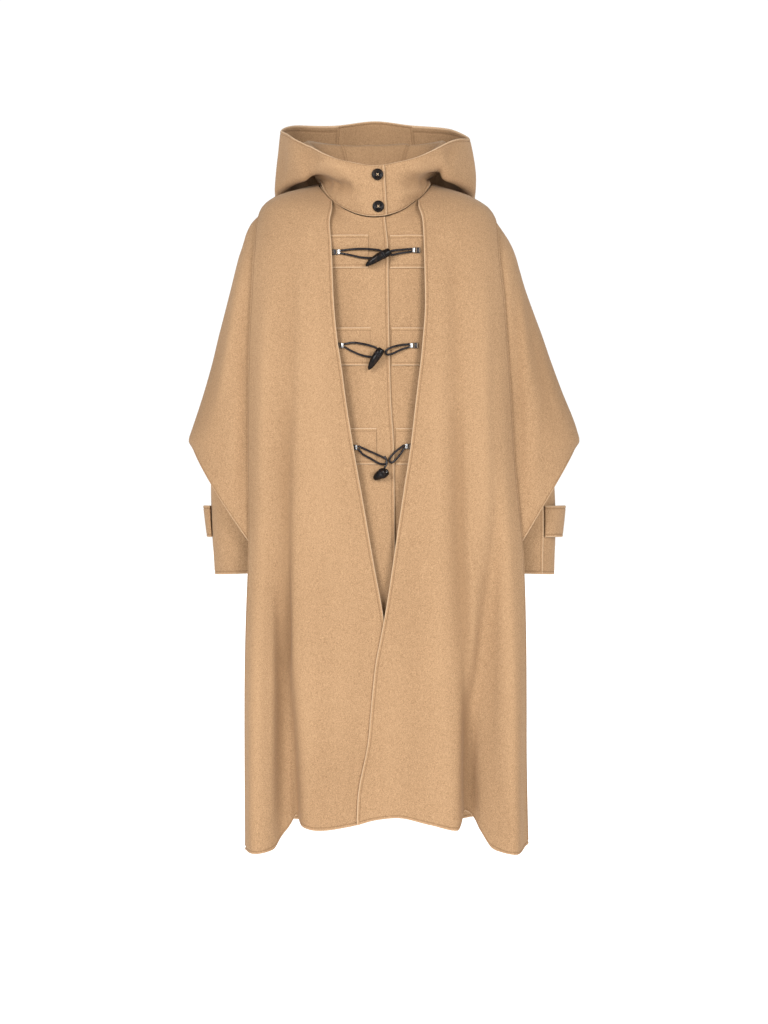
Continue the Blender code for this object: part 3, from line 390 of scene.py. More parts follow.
# Toggles: butt and tip as x, z and distance out, then the butt's radius.
TOGGLES = {
    1: ((10, -102.5, 12.3), (-31, -127, 10.8), 6.6),
    2: ((-4, -269, 12.8), (-26, -304, 10.8), 6.6),
    3: ((4, -478, 17.2), (-17, -490, 1.7), 7.6),
}
TOGGLE_BEND = (0.0, -1.8, 1.4)
# Share of the toggle's length, and share of the butt's radius there.
TOGGLE_SHAPE = (
    (0.0, 0.74), (0.03, 0.95), (0.12, 1.04), (0.3, 1.08), (0.5, 1.04), (0.7, 0.9), (0.85, 0.68),
    (0.95, 0.42), (1.0, 0.16),
)
TOGGLE_WAIST = 0.3         # share of its length where its cord is wrapped
WAIST_DEPTH = 0.12         # share of its radius that the waist takes off there
WAIST_WIDTH = 0.045        # share of its length
WRAP_RADIUS = 0.95
WRAP_PLACE = 1.25          # of each turn of the cord, from the waist
# The third toggle hangs from a stem of cord: x, z and distance out.
STEM_ROUTE = ((1, -451, 6.5), (4, -457, 8.4), (4.5, -464, 9.5), (1, -471, 10.5), (-4, -479, 11.0))
STEM_RADIUS = 1.7
# Button rings from its sunk middle over the rim to its back: radius and height.
BUTTON_SHAPE = (
    (0.05, 2.2), (4.4, 2.2), (5.4, 2.4), (6.1, 3.0), (6.8, 3.45), (8.0, 3.6), (9.0, 3.35),
    (9.7, 2.8), (10.0, 2.0), (9.8, 1.1), (9.2, 0.5), (0.05, 0.4),
)
BUTTON_SIDES = 40
HOLE_PLACE = 1.9           # each hole's distance from the button's middle, along x and z
HOLE_RADIUS = 1.0
HOLE_FRONT = 2.25          # how far the holes' rims lie before the button's back
THREAD_RISE = 0.75
THREAD_RADIUS = 0.42
HOOD_BUTTONS = {"upper": (-10.0, 31.0, 0.7), "lower": (-9.4, -24.0, -0.3)}   # x, z and lift


def corner(table, row_key, back):
    """Half width, depth and squareness of a plan row on one side of its middle."""
    depth = table.at("back_y" if back else "front_y", row_key)
    power = table.at("power", row_key)
    half_width = table.at("edge_x", row_key)
    if table is CAPE:
        share = CAPE_SIDES.at("front", row_key) / table.at("front_y", row_key)
        half_width = half_width / (1.0 - share ** power) ** (1.0 / power)
    return half_width, depth, power


def plan_point(table, row_key, azimuth):
    """Point of a plan row; azimuth 0 is the front, +90 degrees the wearer's left."""
    back = math.cos(azimuth) < 0.0
    half_width, depth, power = corner(table, row_key, back)
    across = abs(math.sin(azimuth)) / half_width
    along = abs(math.cos(azimuth)) / depth
    radius = (across ** power + along ** power) ** (-1.0 / power)
    end_z = table.at("back_z" if back else "front_z", row_key)
    z = row_key + (end_z - row_key) * math.cos(azimuth) ** 2
    x = table.at("centre_x", row_key) + radius * math.sin(azimuth)
    return np.array((x, -radius * math.cos(azimuth), z))


def azimuth_of_x(table, row_key, x):
    """Azimuth of the front point with this x."""
    half_width, depth, power = corner(table, row_key, False)
    offset = x - table.at("centre_x", row_key)
    share = min(abs(offset) / half_width, 0.999)
    y = depth * (1.0 - share ** power) ** (1.0 / power)
    return math.atan2(offset, y)


def azimuth_of_edge(row_key, back, least=0.0):
    """Azimuth of the cape's side edge, front or back, from the middle of that side."""
    half_width, depth, power = corner(CAPE, row_key, back)
    edge_y = max(CAPE_SIDES.at("back" if back else "front", row_key), least)
    x = half_width * (1.0 - (edge_y / depth) ** power) ** (1.0 / power)
    return math.atan2(x, edge_y)


def edge_azimuth_by_height(table, outline, row_key):
    """Azimuth where a row meets a front edge whose x is given by height."""
    azimuth = azimuth_of_x(table, row_key, outline.at("x", row_key))
    for _ in range(4):
        height = plan_point(table, row_key, azimuth)[2]
        azimuth = azimuth_of_x(table, row_key, outline.at("x", height))
    return azimuth


def folds(table, x, z):
    """Outward depth of the soft folds at a place on the cape."""
    total = 0.0
    for i, hem_x in enumerate(table.keys):
        top_x = table.columns["top_x"][i]
        top_z = table.columns["top_z"][i]
        width = table.columns["width"][i]
        fall = ease(top_z, NOMINAL_HEM, z)
        middle = top_x + (hem_x - top_x) * fall
        total += table.columns["depth"][i] * fall * math.exp(-((x - middle) / width) ** 2)
    return total


def cape_point(row_key, azimuth):
    """Point on the cape's outer face, with its folds and its waved hem."""
    back = math.cos(azimuth) < 0.0
    key = row_key
    if row_key < STRAIGHT_HEM:
        x = plan_point(CAPE, NOMINAL_HEM, azimuth)[0]
        hem = (HEM_BACK if back else HEM_FRONT).at("z", x)
        stretch = (hem - STRAIGHT_HEM) / (NOMINAL_HEM - STRAIGHT_HEM)
        key = STRAIGHT_HEM + (row_key - STRAIGHT_HEM) * stretch
    point = plan_point(CAPE, key, azimuth)
    depth = folds(BACK_FOLDS if back else FRONT_FOLDS, point[0], max(key, NOMINAL_HEM))
    middle = CAPE.at("centre_x", key)
    outward = np.array((FOLD_SIDEWAYS * (point[0] - middle), point[1], 0.0))
    return point + outward / np.linalg.norm(outward) * depth


def normal_of(point, a, b, step_a, step_b):
    """Unit normal of a surface given as points by a and b, on the side of b cross a."""
    along_a = point(a + step_a, b) - point(a - step_a, b)
    along_b = point(a, b + step_b) - point(a, b - step_b)
    normal = np.cross(along_b, along_a)
    return normal / np.linalg.norm(normal)


def row_normal(point, row_key, azimuth):
    """Outward normal of a row surface, such as the cape or the coat."""
    return normal_of(point, row_key, azimuth, ROW_STEP, AZIMUTH_STEP)


def row_at(rows, v):
    """Row height at a share of the rows."""
    return float(np.interp(v * (len(rows) - 1), range(len(rows)), rows))


def seam_angle(table, row_key):
    """Half the seam between front and back along the shoulder, as an angle."""
    return SEAM_GAP / table.at("edge_x", row_key)


def tucked_point(side, row_key, back, step):
    """Point under a cape panel, a step in from the panel's side edge."""
    reach = azimuth_of_edge(row_key, back, WING_CAP_WIDTH) - step
    azimuth = side * (math.pi - reach if back else reach)
    point = cape_point(row_key, azimuth)
    gap = WING_GAP.at("gap", row_key)
    return point - row_normal(cape_point, row_key, azimuth) * (WALL + gap)


def wing_point(side, u, v):
    """Point of a wing: u runs from its tucked front edge over the arm to its back edge."""
    back = u > 0.5
    share = 1.0 - abs(2.0 * u - 1.0)
    psi = 0.5 * math.pi * max(share - TUCK_SHARE, 0.0) / (1.0 - TUCK_SHARE)
    low = 1.0 - math.sin(psi)
    top = WING_TOP - WING_CAP * low
    hem = WING_CORNER - WING_DROP * low ** WING_ROUND
    row_key = top + (hem - top) * v
    if share < TUCK_SHARE:
        return tucked_point(side, row_key, back, WING_TUCK * (1.0 - share / TUCK_SHARE))
    edge = tucked_point(side, row_key, back, 0.0)
    outer_x = WING.at("centre_x", row_key) + side * WING.at("outer_x", row_key)
    wide = ease(*WING_OVAL_Z, row_key)
    t = psi / (0.5 * math.pi)
    x = edge[0] + (outer_x - edge[0]) * (math.sin(psi) * wide + t * (2.0 - t) * (1.0 - wide))
    y = edge[1] * (math.cos(psi) * wide + (1.0 - t) * (1.0 - wide))
    z = edge[2] + (row_key - edge[2]) * math.sin(psi) ** 2
    return np.array((x, y, z))


def armhole(row_key):
    """Angle that the armhole takes from the coat's side at a height."""
    place = (row_key - ARMHOLE_MIDDLE) / ARMHOLE_HALF
    if abs(place) >= 1.0:
        return 0.0
    return ARMHOLE_ANGLE * math.sqrt(1.0 - place * place)


def coat_point(row_key, azimuth):
    return plan_point(COAT, row_key, azimuth)


def coat_face(side, row_key, azimuth):
    """Point and normal of a coat front; the left one lies under the right one's lap."""
    point = coat_point(row_key, azimuth)
    normal = row_normal(coat_point, row_key, azimuth)
    if side > 0:
        past_edge = point[0] - COAT_LAP.at("x", point[2])
        point = point - normal * LAP * (1.0 - ease(*LAP_RISE, past_edge))
    return point, normal


def sleeve_ring(side, turn, v):
    """Plain oval ring of a sleeve, before it meets the armhole."""
    middle_x = SLEEVE.at("centre_x", v)
    outer = np.array((middle_x + side * SLEEVE.at("outer_x", v), 0.0, SLEEVE.at("outer_z", v)))
    inner = np.array((middle_x + side * SLEEVE.at("inner_x", v), 0.0, SLEEVE.at("inner_z", v)))
    depth = np.array((0.0, -SLEEVE.at("depth", v), 0.0))
    return (outer + inner) / 2.0 + (outer - inner) / 2.0 * math.cos(turn) + depth * math.sin(turn)


def sleeve_point(side, u, v):
    """Point of a sleeve: u runs round from the top over the front, v down from the armhole."""
    turn = 2.0 * math.pi * u
    seam_azimuth = 0.5 * math.pi - ARMHOLE_ANGLE * math.sin(turn)
    seam = coat_point(ARMHOLE_MIDDLE + ARMHOLE_HALF * math.cos(turn), side * seam_azimuth)
    seam[0] += side * (2.0 * SEAM_GAP + UNDERARM_GAP * (1.0 - math.cos(turn)) / 2.0)
    difference = seam - sleeve_ring(side, turn, 0.0)
    return sleeve_ring(side, turn, v) + difference * (1.0 - ease(0.0, SLEEVE_SETTLED, v))


def hood_point(azimuth, place):
    """Point of the hood: place 0 is the neck seam and 1 the rim, azimuth in degrees."""
    side = 1.0 if azimuth >= 0.0 else -1.0
    turn = abs(azimuth)
    seam = plan_point(CAPE, CAPE_NECK, math.radians(azimuth))
    seam = seam + np.array((0.0, 0.0, NECK_LIFT))

    def ring(table):
        point = np.array([table.at(column, turn) for column in ("x", "y", "z")])
        point[0] = HOOD_X + side * point[0]
        return point

    rim = ring(HOOD_RIM)
    rim[2] += HOOD_TILT * (rim[0] - HOOD_X) * ease(60.0, 90.0, turn) * ease(150.0, 100.0, turn)
    spaced = ease(*HOOD_SPACE[int(side)], turn)
    sunk = ease(*HOOD_FOLD[int(side)], turn)
    folded = np.array((spaced, spaced, sunk))
    rings = [seam]
    for table, at in zip((HOOD_STAND, HOOD_INNER, HOOD_BOTTOM, HOOD_OUTER), HOOD_PLACES[1:-1]):
        plain = seam + (rim - seam) * at
        rings.append(plain * (1.0 - folded) + ring(table) * folded)
    rings.append(rim)
    return np.array([rounded(HOOD_PLACES, [point[k] for point in rings], place) for k in range(3)])


def hood_normal(azimuth, place):
    def point(a, b):
        return hood_point(a, min(max(b, 0.0), 1.0))

    return normal_of(point, azimuth, place, math.degrees(AZIMUTH_STEP), SHARE_STEP) * -1.0


def coat_place(side, x, z):
    """Outer point of a coat front at a place seen from the front."""
    row_key = z
    for _ in range(6):
        azimuth = azimuth_of_x(COAT, row_key, x)
        row_key += z - coat_point(row_key, azimuth)[2]
    return coat_face(side, row_key, azimuth_of_x(COAT, row_key, x))[0]


def on_coat(side, x, z, distance):
    """Point this far out from a coat front."""
    step = 2.0
    across = coat_place(side, x + step, z) - coat_place(side, x - step, z)
    up = coat_place(side, x, z + step) - coat_place(side, x, z - step)
    normal = np.cross(across, up)
    return coat_place(side, x, z) + normal / np.linalg.norm(normal) * distance


def smooth_route(points, count):
    """Evenly read points on a rounded curve through a short list."""
    points = [np.array(point, dtype=float) for point in points]
    lengths = [0.0]
    for before, after in zip(points, points[1:]):
        lengths.append(lengths[-1] + float(np.linalg.norm(after - before)))
    return [np.array([rounded(lengths, [point[k] for point in points], at) for k in range(3)])
            for at in spread(0.0, lengths[-1], count)]


# Faces of the pieces: shares across and down, to a point on the outer face.

def cape_front_face(side):
    outline = CAPE_EDGE_LEFT if side > 0 else CAPE_EDGE_RIGHT

    def face(u, v):
        row_key = row_at(CAPE_ROWS, v)
        inner = edge_azimuth_by_height(CAPE, outline, row_key)
        outer = side * (azimuth_of_edge(row_key, False) - seam_angle(CAPE, row_key))
        azimuth = inner + (outer - inner) * u
        point = cape_point(row_key, azimuth)
        if side < 0:
            under = ease(*CAPE_UNDER_Z, point[2]) * ease(*CAPE_UNDER_X, point[0])
            if under > 0.0:
                point = point - row_normal(cape_point, row_key, azimuth) * LAP * under
        return point

    return face


def cape_back_face(u, v):
    row_key = row_at(CAPE_ROWS, v)
    reach = azimuth_of_edge(row_key, True) - seam_angle(CAPE, row_key)
    return cape_point(row_key, math.pi + reach * (2.0 * u - 1.0))


def coat_front_face(side):
    def face(u, v):
        row_key = row_at(COAT_ROWS, v)
        outer = side * (0.5 * math.pi - armhole(row_key) - seam_angle(COAT, row_key))
        if side < 0:
            inner = edge_azimuth_by_height(COAT, COAT_LAP, row_key)
            return coat_point(row_key, inner + (outer - inner) * u)
        inner = azimuth_of_x(COAT, row_key, COAT_LAP.at("x", row_key) - UNDERLAP)
        return coat_face(side, row_key, inner + (outer - inner) * u)[0]

    return face


def coat_back_face(u, v):
    row_key = row_at(COAT_ROWS, v)
    reach = 0.5 * math.pi - armhole(row_key) + SEAM_CLOSE * seam_angle(COAT, row_key)
    return coat_point(row_key, math.pi + reach * (2.0 * u - 1.0))


def strap_face(side):
    first, last = STRAP_ENDS[side]

    def face(u, v):
        place = STRAP_TOP + (STRAP_BOTTOM - STRAP_TOP) * v
        on_sleeve = sleeve_point(side, last + (first - last) * u, place)
        centre = (sleeve_point(side, 0.0, place) + sleeve_point(side, 0.5, place)) / 2.0
        outward = on_sleeve - centre
        outward[2] = 0.0
        outward = outward / np.linalg.norm(outward)
        height = STRAP_STAND_TOP + (STRAP_STAND_BOTTOM - STRAP_STAND_TOP) * v
        stand = height * math.sin(math.pi * u) ** STRAP_ROUND
        return on_sleeve + outward * (2.0 * SEAM_GAP + WALL + stand)

    return face


def hood_side_face(side):
    start_x = HOOD_UNDERLAP_X if side > 0 else HOOD_LAP_X
    start = math.degrees(math.atan2(start_x, HOOD_NECK_DEPTH))

    def face(u, v):
        azimuth = start + (side * (HOOD_SEAM_AZIMUTH - HOOD_SEAM_GAP) - start) * u
        point = hood_point(azimuth, 1.0 - v)
        under = 1.0 - ease(*HOOD_LAP_RISE, azimuth)
        if side > 0 and under > 0.0:
            point = point - hood_normal(azimuth, 1.0 - v) * LAP * under
        return point

    return face


def hood_centre_face(u, v):
    azimuth = 180.0 + (2.0 * u - 1.0) * (180.0 - HOOD_SEAM_AZIMUTH + HOOD_OVERLAP)
    if azimuth > 180.0:
        azimuth -= 360.0
    return hood_point(azimuth, 1.0 - v)


def patch_face(side, row):
    top = TOGGLE_ROWS.at("patch_top", row)
    bottom = TOGGLE_ROWS.at("patch_bottom", row)
    if side > 0:
        near = COAT_LAP.at("x", (top + bottom) / 2.0) + LEFT_PATCH_INSET
        far = near + LEFT_PATCH_WIDTH
    else:
        near = TOGGLE_ROWS.at("right_near", row)
        far = TOGGLE_ROWS.at("right_far", row)

    def face(u, v):
        x, z = near + (far - near) * u, top + (bottom - top) * v
        return on_coat(side, x, z, PATCH_LIFT + PATCH_WALL)

    return face


# Height of the cloth's face near an edge: distance from the edge, then height. The stitch
# line is the low place 5 mm in, a lip is a fuller turned edge, and a welt is the corded seam
# at the neck.
EDGES = {
    "hem": ((0, -0.95), (0.7, -0.28), (1.7, 0.16), (3.4, 0.14), (4.4, -0.1), (5.1, -0.6),
            (5.8, -0.1), (7.2, 0.1), (10, 0.06), (16, 0)),
    "lip": ((0, -0.5), (0.8, 0.6), (2.4, 1.25), (4.2, 1.1), (5.1, 0.35), (6.2, 0.65), (9, 0.4),
            (16, 0)),
    "fell": ((0, -1.0), (0.7, -0.4), (1.4, 0.12), (2.2, 0.06), (2.9, -0.45), (3.6, 0),
             (6, 0.05), (12, 0)),
    "seam": ((0, -0.9), (0.8, -0.5), (2.2, -0.12), (5, 0.05), (10, 0)),
    "bare": ((0, -0.85), (0.7, -0.22), (1.8, 0), (6, 0)),
    "welt": ((0, -0.9), (0.9, 0.5), (2.8, 1.2), (4.6, 1.0), (5.6, -0.1), (6.3, -0.6), (7.4, -0.2),
             (9.5, 0.2), (14, 0)),
    "patch": ((0, -0.45), (0.5, -0.02), (1.3, 0.16), (2.2, 0.0), (3.0, -0.1), (3.6, 0.0), (6, 0)),
    "tuck": ((0, -0.85), (0.8, -0.6), (2.4, -0.3), (5, -0.08), (9, 0)),
}
# How far in each edge's stitches lie; the material draws them STITCH_LINE from its rim.
STITCH_LINE = 5.1
STITCHED = {"hem": STITCH_LINE, "lip": STITCH_LINE, "fell": 2.9, "welt": 6.3, "patch": STITCH_LINE}
NO_RIM = 90.0              # stands for no stitched edge near

# Soft creases: from x, z to x, z, then width, depth (troughs negative) and bow.
FRONT_CREASES = (
    (-158, -110, -168, -800, 15, -5.4, 0), (-167, -380, -171, -1130, 11, -6.4, 0),
    (-170, -640, -174, -1160, 8, -3.4, 0),
    (-190, -620, -191, -1060, 9, 3.6, 0),
    (-204, -180, -206, -640, 17, 4.6, 4), (-207, -560, -212, -1060, 14, 4.2, 4),
    (-112, -120, -114, -620, 34, 3.8, -8), (-60, -420, -72, -1000, 30, 2.6, 6),
    (-132, -640, -136, -1050, 18, 3.4, -5), (-92, -680, -100, -1050, 20, -2.0, 3),
    (120, -110, 128, -760, 16, -5.2, 0), (126, -380, 150, -1130, 12, -5.6, 2),
    (140, -640, 153, -1150, 9, -3.4, 0),
    (170, -160, 176, -640, 17, 5.0, 3), (190, -520, 180, -1000, 11, -3.0, 0),
    (206, -480, 214, -1040, 13, 4.6, -3), (84, -160, 90, -660, 34, 3.6, -8),
    (96, -640, 104, -1050, 22, 3.2, 6), (48, -500, 60, -1020, 32, -2.0, -8),
    (20, -760, 8, -1040, 26, 2.4, -4), (-140, -52, -104, -86, 22, 3.0, 4),
    (118, -50, 84, -84, 22, 2.6, -4),
)
BACK_CREASES = (
    (-168, -90, -196, -480, 26, -6.75, 10), (-128, -120, -140, -640, 30, 6, -12),
    (-84, -160, -92, -760, 24, -5.4, 8), (-44, -220, -52, -860, 26, 4.8, -6),
    (4, -130, -6, -700, 30, -5.4, 10), (48, -200, 56, -880, 24, 5.1, -8),
    (92, -150, 100, -760, 26, -5.7, 8), (134, -110, 150, -640, 28, 6.3, 12),
    (176, -90, 204, -500, 24, -6.6, -8), (-190, -540, -184, -1000, 15, 6, 4),
    (-118, -640, -122, -1060, 14, -4.5, -4), (26, -700, 34, -1070, 15, -4.2, 4),
    (86, -760, 92, -1060, 14, 4.2, -4), (190, -560, 186, -1020, 15, 5.7, -4),
    (-60, -78, -110, -150, 20, 3.3, 4), (40, -78, 96, -150, 20, 3.3, -4),
)
WING_CREASES = (
    (-240, -70, -276, -330, 18, 4.4, 6), (-262, -120, -322, -410, 17, -5.0, -5),
    (-226, -120, -244, -520, 11, -4.6, 3), (-250, -330, -262, -520, 14, 3.4, -4),
    (206, -60, 250, -330, 18, 3.6, -6), (236, -130, 300, -410, 18, -4.6, 5),
    (226, -120, 236, -520, 11, -4.6, -3), (262, -330, 262, -520, 15, 3.2, 4),
    (-296, -260, -334, -400, 14, -2.6, 3), (280, -260, 330, -405, 14, -2.6, -3),
)
COAT_CREASES = (
    (-60, -150, -50, -400, 18, -1.6, 5), (-20, -180, -26, -420, 14, 1.4, -3),
    (40, -140, 46, -380, 14, -1.5, 3), (-40, -480, -30, -900, 20, 1.8, 4),
    (20, -620, 26, -980, 22, 1.6, -4),
)
SLEEVE_CREASES = (
    (-300, -330, -230, -372, 13, -3.2, 6), (-306, -382, -226, -400, 12, 3.0, -5),
    (-298, -430, -236, -418, 11, -2.6, 4), (-286, -520, -240, -640, 18, 2.0, 6),
    (-262, -480, -268, -630, 14, -1.8, -4), (-236, -470, -226, -600, 14, 1.8, 3),
    (284, -330, 214, -372, 13, -3.2, -6), (290, -384, 212, -402, 12, 3.0, 5),
    (280, -430, 218, -418, 11, -2.6, -4), (246, -480, 250, -640, 14, 1.8, 4),
    (222, -500, 214, -610, 13, -1.6, -3), (268, -520, 262, -600, 10, -1.2, 2),
)
HOOD_CREASES = (
    (-124, 30, -78, 6, 9, -9.0, -6), (-90, 16, -54, 3, 12, -9.0, -3),
    (-118, 48, -44, 24, 12, 7.5, -9), (101, 46, 74, 30, 7, -8.5, -3),
    (84, 38, 28, 15, 12, -8.0, -7), (112, 54, 46, 42, 12, 6.5, -6),
    (-70, -20, -30, -32, 12, -2.4, 4), (26, -26, 74, -8, 13, -3.4, -4),
    (-46, -6, -24, -12, 14, 3.0, 2),
    (128, 96, 112, 48, 9, -3.6, 5), (146, 110, 158, 30, 13, 3.2, -5),
    (-160, 118, -146, 40, 15, 3.2, 6), (-176, 96, -186, 22, 12, -2.6, -4),
    (-130, 84, -112, 50, 14, -3.0, 4), (-46, 120, -50, 60, 15, 2.0, 4),
    (30, 118, 34, 62, 15, -2.4, -4),
)
CREASE_FADE = 0.55         # how fully a crease keeps its depth towards its ends
CREASE_ENDS = 0.04         # share of the fade that is cut off at each end
SKEW = 0.3                 # one flank of a crease is this much wider than its middle
HALF_Y = 12.0              # where a front's or back's creases have faded by half
HALF_WIDTH = 6.0


def creases(lines, points, half=0):
    """Depth of the creases at points; half -1 is the front, 1 the back and 0 both."""
    x, y, z = points[..., 0], points[..., 1], points[..., 2]
    total = np.zeros(x.shape)
    for x0, z0, x1, z1, width, depth, bow in lines:
        dx, dz = x1 - x0, z1 - z0
        length = math.hypot(dx, dz)
        t = ((x - x0) * dx + (z - z0) * dz) / length ** 2
        inside = np.clip(t, 0.0, 1.0)
        across = ((x - x0) * dz - (z - z0) * dx) / length - bow * np.sin(math.pi * inside)
        beyond = (t - inside) * length
        wide = width * (1.0 + SKEW * np.tanh(across / width))
        fade = np.sin(math.pi * (CREASE_ENDS + (1.0 - 2.0 * CREASE_ENDS) * inside)) ** CREASE_FADE
        total += depth * fade * np.exp(-(across / wide) ** 2 - (beyond / width) ** 2)
    if half:
        total *= 1.0 / (1.0 + np.exp(-half * (y - half * HALF_Y) / HALF_WIDTH))
    return total


def smooth(low, high, values):
    """The array form of ease."""
    t = np.clip((values - low) / (high - low), 0.0, 1.0)
    return t * t * (3.0 - 2.0 * t)


def along(points, axis):
    """Distances run along an axis of a grid of points."""
    steps = np.linalg.norm(np.diff(points, axis=axis), axis=2)
    start = np.zeros_like(np.take(steps, [0], axis=axis))
    return np.cumsum(np.concatenate((start, steps), axis=axis), axis=axis)


def line_places(length, start, end, step):
    """Places of a line's two edges, and how many even steps lie between them."""
    near = [d for d, _ in EDGES[start]]
    far = [d for d, _ in EDGES[end]]
    middle = length - near[-1] - far[-1]
    count = max(int(round(middle / step)), 2)
    return near, count, far


def resolve(total, near, count, far):
    """Distances for one line of this total length."""
    room = near[-1] + far[-1]
    shrink = min(1.0, 0.7 * total / room)
    start, end = near[-1] * shrink, total - far[-1] * shrink
    middle = [start + (end - start) * k / count for k in range(1, count)]
    last = [total - d * shrink for d in reversed(far)]
    return np.array([d * shrink for d in near] + middle + last)


COARSE = 41                # points that measure a face's length
FINE = 25                  # points that measure each of its rows


def lattice(face, edges, step, closed=False, vent=()):
    """Grid of points on a face, crowded at its edges, with the distances to its four edges."""
    shares = np.linspace(0.0, 1.0, COARSE)
    coarse = np.array([[face(u, v) for u in shares[::4]] for v in shares])
    down = along(coarse, 0).mean(1)
    across = along(coarse, 1)[:, -1].max()
    left, right, top, bottom = edges
    near, count, far = line_places(down[-1], top, bottom, step[1])
    rows = resolve(down[-1], near, count, far)
    rows_v = np.interp(rows, down, shares)
    if closed:
        columns = sorted(set(np.linspace(0.0, 1.0, int(across / step[0]) + 1)[:-1]) | set(vent))
        points = np.array([[face(u, v) for u in columns] for v in rows_v])
        none = np.full(points.shape[:2], NO_RIM)
        return points, (none, none, np.repeat(rows[:, None], len(columns), 1),
                        np.repeat((rows[-1] - rows)[:, None], len(columns), 1)), columns
    near, count, far = line_places(across, left, right, step[0])
    points, from_left, from_right = [], [], []
    fine = np.linspace(0.0, 1.0, FINE)
    for v in rows_v:
        run = along(np.array([[face(u, v) for u in fine]]), 1)[0]
        places = resolve(run[-1], near, count, far)
        points.append([face(u, v) for u in np.interp(places, run, fine)])
        from_left.append(places)
        from_right.append(run[-1] - places)
    points = np.array(points)
    size = points.shape[:2]
    from_top = np.broadcast_to(rows[:, None], size)
    distances = (np.array(from_left), np.array(from_right), from_top, rows[-1] - from_top)
    return points, distances, None


def grid_normals(points, closed):
    """Unit normals of a grid, outward from the row's middle or from the coat's."""
    if closed:
        wrapped = np.concatenate((points[:, -1:], points, points[:, :1]), axis=1)
        across = wrapped[:, 2:] - wrapped[:, :-2]
    else:
        across = np.gradient(points, axis=1)
    down = np.gradient(points, axis=0)
    normals = np.cross(down, across)
    normals /= np.maximum(np.linalg.norm(normals, axis=2, keepdims=True), 1e-9)
    j, i = points.shape[0] // 10, points.shape[1] // 2
    middle = points[j].mean(0) if closed else np.array((MIDDLE_X, 0.0, points[j, i, 2]))
    if np.dot(normals[j, i], points[j, i] - middle) < 0.0:
        normals = -normals
    return normals


def face_heights(edges, distances):
    """Height of the face from its edges' own forms."""
    low = np.zeros(distances[0].shape)
    high = np.zeros(distances[0].shape)
    for kind, distance in zip(edges, distances):
        if kind:
            places, heights = zip(*EDGES[kind])
            height = np.interp(distance, places, heights)
            low = np.minimum(low, height)
            high = np.maximum(high, height)
    return np.where(low < 0.0, low, high)


def rims(edges, distances):
    """Distance past the stitch line of the nearest stitched edge, and the run along it."""
    from_left, from_right, from_top, from_bottom = distances
    rim = np.full(from_left.shape, NO_RIM)
    run = np.zeros(from_left.shape)
    for kind, distance, other in zip(edges, distances, (from_top, from_top, from_left, from_left)):
        if kind in STITCHED:
            distance = distance + STITCH_LINE - STITCHED[kind]
            closer = distance < rim
            run = np.where(closer, other, run)
            rim = np.where(closer, distance, rim)
    return rim, run


def mesh_object(name, vertices, faces, materials):
    """Object of a closed mesh, its faces turned outward and smooth."""
    mesh = bpy.data.meshes.new(name)
    mesh.from_pydata(vertices, [], faces)
    work = bmesh.new()
    work.from_mesh(mesh)
    bmesh.ops.recalc_face_normals(work, faces=work.faces)
    work.to_mesh(mesh)
    work.free()
    mesh.shade_smooth()
    for material in materials:
        mesh.materials.append(material)
    item = bpy.data.objects.new(name, mesh)
    bpy.context.scene.collection.objects.link(item)
    return item


def grid_mesh(name, outer, inner, closed, values):
    """Closed thin mesh from its outer and inner grids, with values on its points."""
    vertices = np.concatenate((outer.reshape(-1, 3), inner.reshape(-1, 3)))
    vertices = (vertices + (FIGURE_X, 0.0, 0.0)) * MM
    rows, columns = outer.shape[:2]
    under = rows * columns
    index = np.arange(under).reshape(rows, columns)
    if closed:
        index = np.concatenate((index, index[:, :1]), axis=1)
    a, b, c, d = index[:-1, :-1], index[:-1, 1:], index[1:, 1:], index[1:, :-1]
    face = np.stack((a, b, c, d), axis=-1).reshape(-1, 4)
    rims_of_grid = [index[0], index[-1]] + ([] if closed else [index[:, 0], index[:, -1]])
    parts = [face, face[:, ::-1] + under]
    for line in rims_of_grid:
        a, b = line[:-1], line[1:]
        parts.append(np.stack((a, b, b + under, a + under), axis=-1))
    item = mesh_object(name, vertices.tolist(), np.concatenate(parts).tolist(), (WOOL,))
    for key, (outside, inside) in values.items():
        both = np.concatenate((outside.ravel(), inside.ravel())) * MM
        attribute = item.data.attributes.new(key, "FLOAT", "POINT")
        attribute.data.foreach_set("value", both.astype(np.float32))
    return item


def cloth(node, face, edges, step, lines, half=0, wall=WALL, closed=False,
          fade=None, extra=None, vent=(), shade=None, inside=0.0):
    """A cloth piece that replaces its node.

    edges are those of its left, right, top and bottom, step its cells' size, half the half of
    the coat that its creases keep to, and shade and inside the painted shade of its outer and
    inner faces.
    """
    points, distances, columns = lattice(face, edges, step, closed, vent)
    normals = grid_normals(points, closed)
    relief = creases(lines, points, half)
    if fade:
        relief = relief * fade(points, distances)
    heights = face_heights(edges, distances)
    rim, run = rims(edges, distances)
    if extra:
        added, rim = extra(points, columns, rim)
        relief = relief + added
    middle = points + normals * relief[..., None]
    normals = grid_normals(middle, closed)
    outer = middle + normals * heights[..., None]
    inner = middle - normals * (wall + heights)[..., None]
    # The relief attribute: crease depth, which the wool turns into painted shade and light, plus
    # painted shade from shade on the outer face and from inside on the inner face.
    tone = relief + shade(points) if shade else relief
    values = {"rim": (rim, rim), "run": (run, run), "relief": (tone, relief + inside)}
    item = grid_mesh(f"{node}_cloth", outer, inner, closed, values)
    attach(item, "root")
    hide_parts(node)


# Materials

def material_start(name, **settings):
    """Material with a Principled shader, whose constant values are set on its own sockets."""
    material = bpy.data.materials.new(name)
    material.use_nodes = True
    tree = material.node_tree
    shader = tree.nodes["Principled BSDF"]
    for socket, value in settings.items():
        shader.inputs[socket.replace("_", " ")].default_value = value
    return material, tree, shader


def add(tree, kind, values=None, **properties):
    node = tree.nodes.new(kind)
    for key, value in properties.items():
        setattr(node, key, value)
    for key, value in (values or {}).items():
        node.inputs[key].default_value = value
    return node


def link(tree, source, target):
    tree.links.new(source, target)


